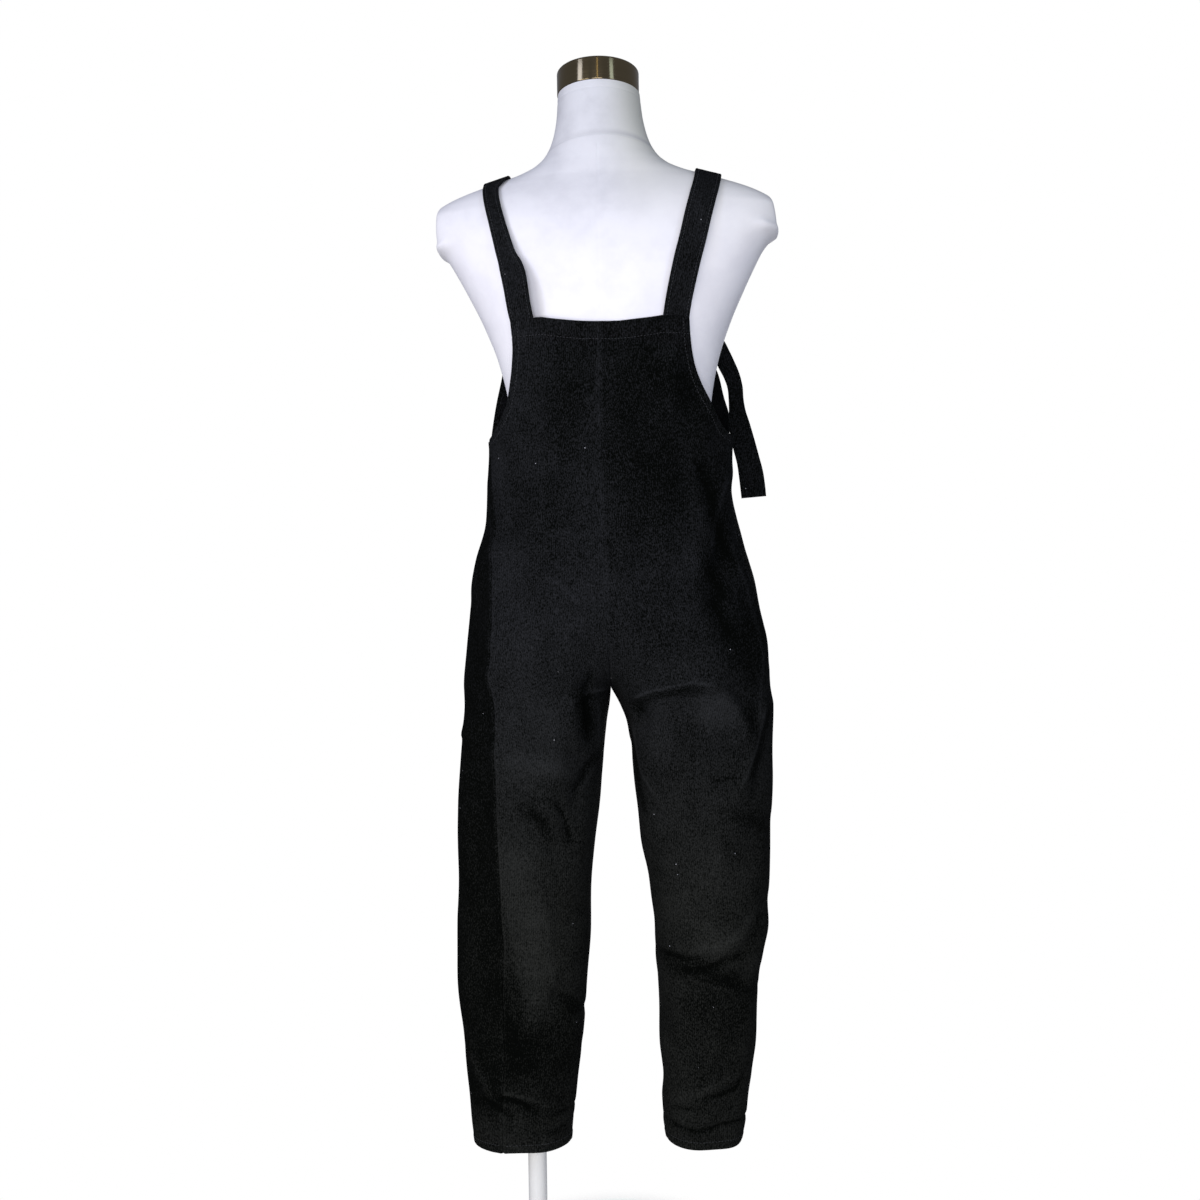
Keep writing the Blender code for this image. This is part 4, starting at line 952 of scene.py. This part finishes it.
def contour_down(field, level, grids):
    """Points where the field passes the level along each column of the grids."""
    found = []
    for c in range(field.shape[1]):
        below = np.flatnonzero((field[:-1, c] < level) != (field[1:, c] < level))
        if len(below):
            r = below[0]
            t = (level - field[r, c]) / (field[r + 1, c] - field[r, c])
            found.append([g[r, c] * (1 - t) + g[r + 1, c] * t for g in grids])
    return [np.array(g) for g in zip(*found)]


ROW_STEP = {BACK: 0.0045, FRONT: 0.0042}
EVEN_ROWS = (0.02, 0.03)  # how far above the hem and below the top the evenly spaced rows begin
# heights between which the rows stand closer, and their step there
CLOSE_ROWS = {BACK: ((0.220, 0.300, 0.0021), (0.360, 0.500, 0.0027), (0.600, 0.840, 0.0021)), FRONT: ()}
COLUMNS = {(LEFT, BACK): 82, (RIGHT, BACK): 98, (LEFT, FRONT): 66, (RIGHT, FRONT): 60}
EVEN_FROM = 0.08  # the share of the width, in from each edge, from which the columns stand evenly
EDGE_SHARES = np.array([0, 0.003, 0.0065, 0.0105, 0.0155, 0.022, 0.030, 0.040, 0.052, 0.066])
# the rows that draw the hem's turn and the facing, up from the hem and down from the top
HEM_ROWS = np.array([0, 0.0006, 0.0014, 0.0024, 0.0036, 0.0052, 0.0072])
HEM_ROWS = np.append(HEM_ROWS, [0.0092, 0.0102, 0.0110, 0.0118, 0.0130, 0.0160])
TOP_ROWS = np.array([0, 0.0006, 0.0014, 0.0025, 0.004, 0.006, 0.009, 0.012])
TOP_ROWS = np.append(TOP_ROWS, [0.015, 0.018, 0.020, 0.0212, 0.022, 0.0228, 0.024, 0.027])
HOLE_ROWS = np.array([-0.002, 0, 0.001, 0.002])
CROTCH_ROWS = np.array([-0.002, 0, 0.001, 0.002, 0.0035, 0.005])
EASED_ENDS = 0.04  # how far from the hem and the top the kinks in the tables are eased in full
HOLE_REACH = 0.03  # how far below the armhole its edge is still looked for
HEM_TURN = 0.011
ARMHOLE_TURN = 0.010
FACING = 0.022
TURNED_PLY = 0.0007
PLY_STEP = (0.001, 0.0015)  # how far before and beyond its stitches a turned edge thins out
STITCH_SINK = (0.0005, 0.0010, 0.0005)  # the furrow by a line of stitches: depth, half width, how far inside
RIM_ROUND = (0.0007, 0.0012, 0.0008)  # a free edge: how far it drops, how much it thins, over what width
# painted shade: a dark line along the front panels' free edges
RIM_SHADE = (-0.18, 0.0018)  # how much darker the front panels' free edges are, and how wide that is
SEAM_RIDGE = (0.0006, 0.0034, 0.0020)  # beside a seam: height, place, half width
SEAM_GROOVE = (0.0011, 0.0011)  # depth, half width
SEAM_LIGHTER = (0.22, 0.0018, 0.0016, 0.0005)  # the lighter pile: amount, place, half width, less where flat
LIGHTER_SPOTS = (0.013, 0.05)  # how long the seam's lighter spots are, and how that varies
PRESSED = (0.84, 0.90)  # heights between which the centre back seam turns flat
PRESSED_SHARE = (0.6, 0.7)  # by how much its ridges and its groove are lower there
SEAM_FADE = 0.012  # how near a seam the strokes' rise fades, and the cloth stops moving sideways
JOINED = (0.020, 0.004)  # how far below and above the crotch that sets in
CLOTH_EDGE = 55  # an edge where the cloth turns by more degrees than this is drawn sharp
ROOM = 0.0012  # between the cloth and the form
DEEPEST = 0.05  # a point deeper in the form than this isn't moved
FORM_FOOT = 0.835  # below this the cloth hangs clear of the form


def panel_levels(face):
    """Heights of a panel's rows of points, from the top down."""
    top = TOP_Z[face]
    ends = (HEM_Z + EVEN_ROWS[0], top - EVEN_ROWS[1])
    even = np.linspace(*ends, round((top - HEM_Z) / ROW_STEP[face]))
    for low, high, step in CLOSE_ROWS[face]:
        even = np.concatenate([even[(even < low - step) | (even > high + step)], np.arange(low, high, step)])
    edges = (HEM_Z + HEM_ROWS, top - TOP_ROWS, ARMHOLE_Z + HOLE_ROWS, CROTCH_Z + CROTCH_ROWS)
    return np.unique(np.concatenate([even, *edges]))[::-1]


panels, seam_lines = {}, []
for side, face in [(side, face) for side in (LEFT, RIGHT) for face in (BACK, FRONT)]:
    levels = panel_levels(face)
    even = np.linspace(EVEN_FROM, 1 - EVEN_FROM, COLUMNS[side, face])
    shares = np.concatenate([EDGE_SHARES, even, 1 - EDGE_SHARES[::-1]])
    z, share = levels[:, None], shares[None, :]
    angles = row_angles(side, face, z, share)
    climb = np.clip((z - ARMHOLE_Z) / (TOP_Z[face] - ARMHOLE_Z), 0, None)
    flat_x = wall_points(side, angles, z)[..., 0] / DIP_HALF
    dipped = z - TOP_DIP * climb**2 * np.clip(1 - flat_x**2, 0, None)
    wall = wall_points(side, angles, dipped)
    # the kinks in the tables' rows are eased, but not at the panel's edges
    loose = np.clip(np.minimum(shares, 1 - shares) / EVEN_FROM, 0, 1)[None, :, None]
    ends = np.clip(np.minimum(levels - levels[-1], levels[0] - levels) / EASED_ENDS, 0, 1)[:, None, None]
    for _ in range(3):
        mean = wall.copy()
        mean[1:-1] = (wall[:-2] + 2 * wall[1:-1] + wall[2:]) / 4
        wall = wall + (mean - wall) * loose * ends
    normal = normals_of(wall) * (side * face)
    flip = np.sign(np.sum(normal * (wall - wall.mean(axis=(0, 1))), axis=-1).mean())
    normal *= flip
    from_inner = run_of(wall, 1)
    from_outer = from_inner[:, -1:] - from_inner
    from_top = np.max(dipped, axis=0, keepdims=True) - dipped
    from_hem = z - HEM_Z + 0 * share
    # the way to the nearest point of the armhole's edge
    hole = wall[levels >= ARMHOLE_Z + HOLE_ROWS[0] / 2, -1]
    near = levels > ARMHOLE_Z - HOLE_REACH
    from_hole = np.full(from_inner.shape, 1.0)
    from_hole[near] = np.linalg.norm(wall[near][:, :, None] - hole[None, None], axis=-1).min(axis=-1)
    sewn = np.where(z > ARMHOLE_Z, 1.0, from_outer)
    seam_off = np.minimum(from_inner, sewn)
    shade, rise = pile_light_and_shade(side, face, wall)
    height = relief(side, wall) + rise * np.clip(seam_off / SEAM_FADE, 0, 1)

    # the seams: a narrow groove between two low ridges, pressed nearly flat up the centre back
    flat = eased(z, *PRESSED) * (from_inner < sewn)
    height += SEAM_RIDGE[0] * (1 - PRESSED_SHARE[0] * flat) * bump(seam_off - SEAM_RIDGE[1], SEAM_RIDGE[2])
    height -= SEAM_GROOVE[0] * (1 - PRESSED_SHARE[1] * flat) * bump(seam_off, SEAM_GROOVE[1])
    # a lighter line of pile beside each seam, in spots along it
    spots = 0.5 + 0.5 * np.sin(z / LIGHTER_SPOTS[0] + 3 * np.sin(z / LIGHTER_SPOTS[1])) ** 2
    shade += SEAM_LIGHTER[0] * bump(seam_off - SEAM_LIGHTER[1], SEAM_LIGHTER[2] - SEAM_LIGHTER[3] * flat) * spots

    # the hem, the facing and the armhole's edge: a second ply, a line of stitches and a rounded rim
    ply = np.zeros(seam_off.shape)
    for off, width in ((from_hem, HEM_TURN), (from_top, FACING), (from_hole, ARMHOLE_TURN)):
        ply = np.maximum(ply, TURNED_PLY * (1 - eased(off, width - PLY_STEP[0], width + PLY_STEP[1])))
        height -= STITCH_SINK[0] * bump(off - width + STITCH_SINK[2], STITCH_SINK[1])
    rim_off = np.minimum(np.minimum(from_hem, from_top), from_hole)
    # painted shade along the front panels' free edges
    shade += RIM_SHADE[0] * (face == FRONT) * bump(rim_off, RIM_SHADE[1])
    height += ply - RIM_ROUND[0] * bump(rim_off, RIM_ROUND[2])
    thick = CLOTH + ply - RIM_ROUND[1] * bump(rim_off, RIM_ROUND[2])

    # next to the centre seam the cloth moves only along the seam's own plane, so the halves stay joined
    sideways = np.clip(from_inner / SEAM_FADE, 0, 1) - 1
    move = normal * height[..., None]
    move[..., 0] *= 1 + sideways * eased(z, CROTCH_Z - JOINED[0], CROTCH_Z + JOINED[1])
    outer = wall + move
    inner = outer - normal * thick[..., None]
    for r, c in np.ndindex(*inner.shape[:2]):
        if inner[r, c, 2] >= FORM_FOOT:
            push = np.array(off_form(Vector(inner[r, c]), ROOM))
            outer[r, c] += push
            inner[r, c] += push
    middle = from_inner[:, len(shares) // 2, None]
    uv = np.stack([from_inner - middle, z + 0 * share], axis=-1)
    name = ("back_" if face == BACK else "front_") + HANDS[side]
    panels[side, face] = shell(name + "_cloth", outer, inner, uv, shade)
    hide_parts(name)
    thread_normal = normals_of(outer) * (side * face) * flip
    for field, level in ((from_hem, HEM_TURN), (from_top, FACING)):
        seam_lines.append(contour_down(field, level, (outer, thread_normal)))
    rows = [g.transpose(1, 0, 2)[::-1] for g in (outer, thread_normal)]
    seam_lines.append(contour_down(from_hole.T[::-1], ARMHOLE_TURN, rows))


# ------------------------------------------------------------------------------ straps, knots and free ends
# Each strap is a folded and turned band of the same cloth, sewn to the back bib's corner. It goes over the
# shoulder, is knotted at the front bib's corner, and its end hangs free.

STRAP_WIDTH = 0.035
STRAP_REACH = {LEFT: 0.0315, RIGHT: 0.0345}
STRAP_THICK = 0.0026
STRAP_ROOM = 0.0024
STRAP_STATIONS = 33
STRAP_LEAVES_BIB = (1.0, 0.7, 0.35, 0.1)  # how closely its first stations follow the bib
STRAP_TUCK = 0.0025  # how far its end is caught in the bib's facing
STRAP_NAP = 0.40
TAIL_STATIONS = 17
TAIL_NAP = 0.15
BAND_COLUMNS = 5
# courses: x, y and z of the middle in millimetres, and the band's width there as a share of the whole
STRAPS = {
    LEFT: (
        (99.5, 104, 1289, 1), (105.7, 98, 1309.7, 1), (110.2, 93, 1330.5, 1), (114.9, 87, 1351.2, 0.98),
        (119, 85, 1362.1, 0.84), (123.6, 81, 1376.3, 0.75), (128.1, 77, 1393, 0.7),
        (131.8, 73.5, 1407.2, 0.66), (135.2, 71, 1421, 0.63), (138.9, 66, 1436, 0.61),
        (142.8, 55.5, 1455, 0.61), (144.5, 42, 1473, 0.66), (141.5, 31, 1483.5, 0.84),
        (138.5, 18, 1490.5, 1), (137.5, 0, 1495.5, 1), (136, -16, 1495.7, 1), (133.5, -36, 1490, 1),
        (130.5, -58, 1468, 1), (127.5, -78, 1430, 1), (124, -98, 1388, 1), (121.2, -108.5, 1366, 0.9),
        (120, -115, 1351.6, 0.55), (120, -117.2, 1341, 0.4),
    ),
    RIGHT: (
        (-95, 104, 1289, 1), (-98.4, 102.5, 1306.5, 1), (-104.8, 102.5, 1333.4, 1),
        (-111.4, 101.5, 1360.9, 1), (-118.9, 99, 1388.7, 1), (-125.6, 95, 1416.4, 1),
        (-133.6, 85, 1446.5, 1), (-138.6, 73.5, 1464, 1), (-143.3, 52, 1483.5, 1),
        (-145.5, 14, 1496.5, 1), (-145, -10, 1498.5, 1), (-140.5, -35, 1490.5, 1), (-136, -58, 1468, 1),
        (-131, -80, 1430, 1), (-125, -100, 1392, 1), (-122, -108, 1366, 0.9),
        (-121, -114.2, 1351.6, 0.55), (-121, -116.4, 1341, 0.4),
    ),
}
TAILS = {
    LEFT: (
        (121.5, -117.8, 1327, 0.34), (124, -119, 1317, 0.42), (131, -128, 1285, 0.6),
        (135, -127, 1250, 0.74), (141, -126, 1210, 0.9), (146.5, -125, 1165, 1), (150, -125, 1120, 1),
        (151, -124, 1078, 1),
    ),
    RIGHT: (
        (-131, -117.2, 1335, 0.34), (-140.2, -118.8, 1326.7, 0.42), (-156, -128, 1311, 0.6),
        (-166.8, -127, 1298.7, 0.7), (-175, -124, 1281.5, 0.72), (-184.5, -118, 1258, 0.7),
        (-191.8, -112.5, 1236, 0.64), (-193.8, -107, 1203.4, 0.64), (-196.6, -103, 1176.6, 0.86),
        (-202.4, -99, 1147, 0.95), (-207.3, -97, 1126.5, 0.95), (-211.8, -93, 1100, 1.02),
        (-214.5, -90, 1069, 1.02),
    ),
}
BAND_ACROSS = np.array([0, 0.012, 0.03, 0.06, 0.11, 0.15, 0.20, 0.30, 0.40, 0.50])
BAND_ACROSS = np.append(BAND_ACROSS, [0.60, 0.70, 0.80, 0.85, 0.89, 0.94, 0.97, 0.988, 1])
BAND_STEP = 0.0025
BAND_ROUND = (0.0011, 0.0016)  # how far the band's edges drop, and over what width
BAND_SINK = (0.0004, 0.0010)  # the furrow along its stitches: depth, half width
BAND_PUCKER = (0.00022, 0.006)  # the puckers beside them: height, half width
PUCKER_RUN = (0.0085, 0.031)  # how long the puckers are, and how that comes and goes
EDGE_STITCH = 0.0045


def between(grid, places, axis):
    """The grid's values at fractional places along one axis, on smooth curves through its own."""
    grid = np.moveaxis(grid, axis, 0)
    padded = np.concatenate([2 * grid[:1] - grid[1:2], grid, 2 * grid[-1:] - grid[-2:-1]])
    at = np.clip(np.floor(places).astype(int), 0, len(grid) - 2)
    t = (places - at).reshape(-1, *[1] * (grid.ndim - 1))
    p0, p1, p2, p3 = (padded[at + k] for k in range(4))
    bend = (2 * p0 - 5 * p1 + 4 * p2 - p3) * t**2 + (3 * p1 - p0 - 3 * p2 + p3) * t**3
    return np.moveaxis(p1 + ((p2 - p0) * t + bend) / 2, 0, axis)


def at_run(values, run, places):
    """The rows of values at places along their run."""
    return np.stack([np.interp(places, run, column) for column in values.T], axis=-1)


def through(course, count):
    """count stations, evenly spaced by length, on one smooth curve through the course."""
    course = np.array(course) / (1000, 1000, 1000, 1)
    fine = between(course, np.linspace(0, len(course) - 1, 12 * (len(course) - 1) + 1), 0)
    run = run_of(fine[:, :3], 0)
    return at_run(fine, run, np.linspace(0, run[-1], count))


def band_grid(route, faced, widths):
    """Coarse points and normals of a flat band, square to its route and facing the way given."""
    outer, normals = [], []
    for place, way, face, width in zip(route[:, :3], np.gradient(route[:, :3], axis=0), faced, widths):
        across = Vector(way).cross(face).normalized()
        normal = across.cross(Vector(way)).normalized()
        row = [Vector(place) + across * s * width for s in np.linspace(-0.5, 0.5, BAND_COLUMNS)]
        outer.append([point + off_form(point - normal * STRAP_THICK, STRAP_ROOM) for point in row])
        normals.append([normal] * BAND_COLUMNS)
    return np.array(outer), np.array(normals)


def make_band(name, outer, normals, pile_and_painted_shading):
    """A finished band on the coarse one: rounded long edges, a stitched line near each, and soft puckers."""
    length = np.linalg.norm(np.diff(outer[:, 2], axis=0), axis=1).sum()
    rows = np.linspace(0, len(outer) - 1, round(length / BAND_STEP))
    columns = BAND_ACROSS * (BAND_COLUMNS - 1)
    outer, normals = (between(between(g, rows, 0), columns, 1) for g in (outer, normals))
    normals /= np.linalg.norm(normals, axis=-1, keepdims=True)
    across, along = run_of(outer, 1), run_of(outer, 0)
    off = np.minimum(across, across[:, -1:] - across)
    rim = np.minimum(off, np.minimum(along, along[-1:] - along))
    round_off = BAND_ROUND[0] * np.clip(1 - rim / BAND_ROUND[1], 0, 1) ** 2
    sink = BAND_SINK[0] * bump(off - EDGE_STITCH, BAND_SINK[1])
    pucker = np.sin(along / PUCKER_RUN[0]) * np.sin(along / PUCKER_RUN[1] + 1)
    pucker *= BAND_PUCKER[0] * bump(off - EDGE_STITCH, BAND_PUCKER[1])
    inner = outer - normals * (STRAP_THICK - round_off)[..., None]
    outer = outer + normals * (pucker - sink - round_off)[..., None]
    uv = np.stack([across - across[:, -1:] / 2, -along], axis=-1)
    grids = [g.transpose(1, 0, 2) for g in (outer, normals)]
    for field in (across, across[:, -1:] - across):
        seam_lines.append(contour_down(field.T, EDGE_STITCH, grids))
    return shell(name, outer, inner, uv, np.full(across.shape, pile_and_painted_shading))


# The knot is the band drawn into a rope and tied once over itself: a trefoil, 160 points long and 20 round.
KNOT_SIZE = np.array((0.021, 0.012, 0.017))
KNOT_PULLED_IN = 0.0054  # how far it is pulled into the bib
KNOT_Z = 1.334
ROPE = (0.0062, 0.0040)  # the rope's half width and half depth
ROPE_SLACK = 0.0005
ROPE_FOLDS = (0.10, 3, 5)  # the folds along it: height as a share, how many round it, their twist
ROPE_WEAVE = (0.0020, 0.0010)  # how much cloth each step round it and along it takes
ROPE_FACES = (0.6, 2.0, 0.6)  # its flat side looks outwards, and mostly to the front or the back
t = np.linspace(0, 2 * pi, 160, endpoint=False)
a = np.linspace(0, 2 * pi, 20, endpoint=False)
curve = np.stack([np.sin(t) + 2 * np.sin(2 * t), -np.sin(3 * t), np.cos(t) - 2 * np.cos(2 * t)], axis=-1)
curve /= np.abs(curve).max(axis=0)
curve *= KNOT_SIZE - np.array((ROPE[0], ROPE[1], ROPE[0])) - ROPE_SLACK
way = np.roll(curve, -1, 0) - np.roll(curve, 1, 0)
way /= np.linalg.norm(way, axis=1, keepdims=True)
out = curve * ROPE_FACES
out -= way * np.sum(out * way, axis=1, keepdims=True)
out /= np.linalg.norm(out, axis=1, keepdims=True)
beside = np.cross(way, out)
folds = 1 + ROPE_FOLDS[0] * np.sin(ROPE_FOLDS[1] * a + ROPE_FOLDS[2] * t[:, None]) * np.abs(np.cos(a))
rope = beside[:, None] * (np.cos(a) * ROPE[0])[:, None] + out[:, None] * (np.sin(a) * ROPE[1])[:, None]
rope = curve[:, None] + rope * folds[..., None]

straps, knots, tails = {}, {}, {}
for side in (LEFT, RIGHT):
    route = through(STRAPS[side], STRAP_STATIONS)
    faced = []
    for station in route:
        place = Vector(station[:3])
        faced.append(form_tree.find_nearest(place)[1])
        station[:3] = place + off_form(place - faced[-1] * STRAP_THICK, STRAP_ROOM)
    outer, normals = band_grid(route, faced, STRAP_WIDTH * route[:, 3])
    # its first stations lie on the back bib
    edge = float(smooth(ARMHOLES[BACK], HANDS[side], TOP_Z[BACK]))
    ends = (edge, edge - STRAP_REACH[side]) if side == LEFT else (STRAP_REACH[side] - edge, -edge)
    for row, follow in enumerate(STRAP_LEAVES_BIB):
        x = np.linspace(*ends, BAND_COLUMNS) + route[row][0] - route[0][0]
        level = np.full(x.shape, TOP_Z[BACK] - STRAP_TUCK * follow + route[row][2] - route[0][2])
        nearby = [level + step for step in (0.003, 0, -0.003)]
        bib = [wall_points(side, angle_at(side, BACK, z, x), z) for z in nearby]
        bib_normal = normals_of(np.stack(bib[::2]))[0]
        bib_normal *= np.sign(bib_normal[:, 1:2])
        outer[row] += (bib[1] - outer[row]) * follow
        normals[row] += (bib_normal - normals[row]) * follow
    straps[side] = make_band("strap_%s_cloth" % HANDS[side], outer, normals, STRAP_NAP)
    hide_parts("strap_" + HANDS[side])

    route = through(TAILS[side], TAIL_STATIONS)
    outer, normals = band_grid(route, [Vector((0, FRONT, 0))] * TAIL_STATIONS, STRAP_WIDTH * route[:, 3])
    tails[side] = make_band("tail_%s_cloth" % HANDS[side], outer, normals, TAIL_NAP)
    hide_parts("tail_" + HANDS[side])

    x, level = STRAPS[side][-1][0] / 1000, np.full(1, KNOT_Z)
    bib = wall_points(side, angle_at(side, FRONT, level, np.full(1, x - side * KNOT_SIZE[0])), level)[0]
    grid = np.array((x, bib[1] - KNOT_SIZE[1] + KNOT_PULLED_IN, KNOT_Z)) + rope
    rows, columns = grid.shape[:2]
    faces = ring_faces(rows, columns, True)
    knots[side] = plain_mesh("knot_%s_cloth" % HANDS[side], grid.reshape(-1, 3), faces, cord)
    corners = np.array(faces).ravel()
    uv = np.stack([corners % columns, corners // columns], axis=-1) * ROPE_WEAVE
    weave_and_pile_shading(knots[side].data, uv, np.full(rows * columns, STRAP_NAP))
    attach(knots[side], "root")
    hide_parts("knot_" + HANDS[side])


# ------------------------------------------------------------------------------ sewing
# Lockstitch in black polyester thread: along the hems, the facings, the armholes and both edges of the
# straps. Each stitch is a small capsule that sinks into the pile at its ends.

STITCH = 0.0032
STITCH_GAP = 0.0010
THREAD = 0.00033
LINE_END = 0.002  # how far from its ends a line of stitches starts and stops
STITCH_SIDES = 6
# along the stitch, how thick it is there and how high it lies, in lengths and half thicknesses
STITCH_SHAPE = ((-0.5, 0.30, -0.9), (-0.36, 0.85, -0.2), (0, 1, 0.25), (0.36, 0.85, -0.2), (0.5, 0.30, -0.9))

# Spun polyester: a dull sheen, mottled where its plies turn over, nine times to a centimetre.
PLIES = 0.010 / 9
thread, tree, surface = new_material("black_polyester_thread", Roughness=0.55, Specular_IOR_Level=0.4)
plies = node("TexNoise", {"Vector": node("TexCoord", out="Object"), "Scale": 1 / PLIES, "Detail": 1})
colour = node("Mix", {0: plies, 6: linear("#1b1c1f"), 7: linear("#333438")}, **COLOUR)
tree.links.new(colour, surface["Base Color"])

capsule = ring_faces(len(STITCH_SHAPE), STITCH_SIDES) + end_faces(len(STITCH_SHAPE), STITCH_SIDES)
points, faces = [], []
for line in seam_lines:
    if len(line) < 2 or len(line[0]) < 3:
        continue
    run = run_of(line[0], 0)
    for start in np.arange(LINE_END, run[-1] - LINE_END - STITCH, STITCH + STITCH_GAP):
        ends = at_run(line[0], run, np.array((start, start + STITCH)))
        lift = at_run(line[1], run, start + STITCH / 2)
        lift /= np.linalg.norm(lift)
        way = ends[1] - ends[0]
        beside = np.cross(way / np.linalg.norm(way), lift)
        beside /= np.linalg.norm(beside)
        faces += [tuple(len(points) + k for k in face) for face in capsule]
        for along, size, high in STITCH_SHAPE:
            centre = ends.mean(axis=0) + way * along + lift * THREAD * high
            for k in range(STITCH_SIDES):
                a = 2 * pi * k / STITCH_SIDES
                points.append(centre + (beside * cos(a) + lift * sin(a)) * THREAD * size)
stitching = plain_mesh("stitching", points, faces, thread)
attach(stitching, "root")
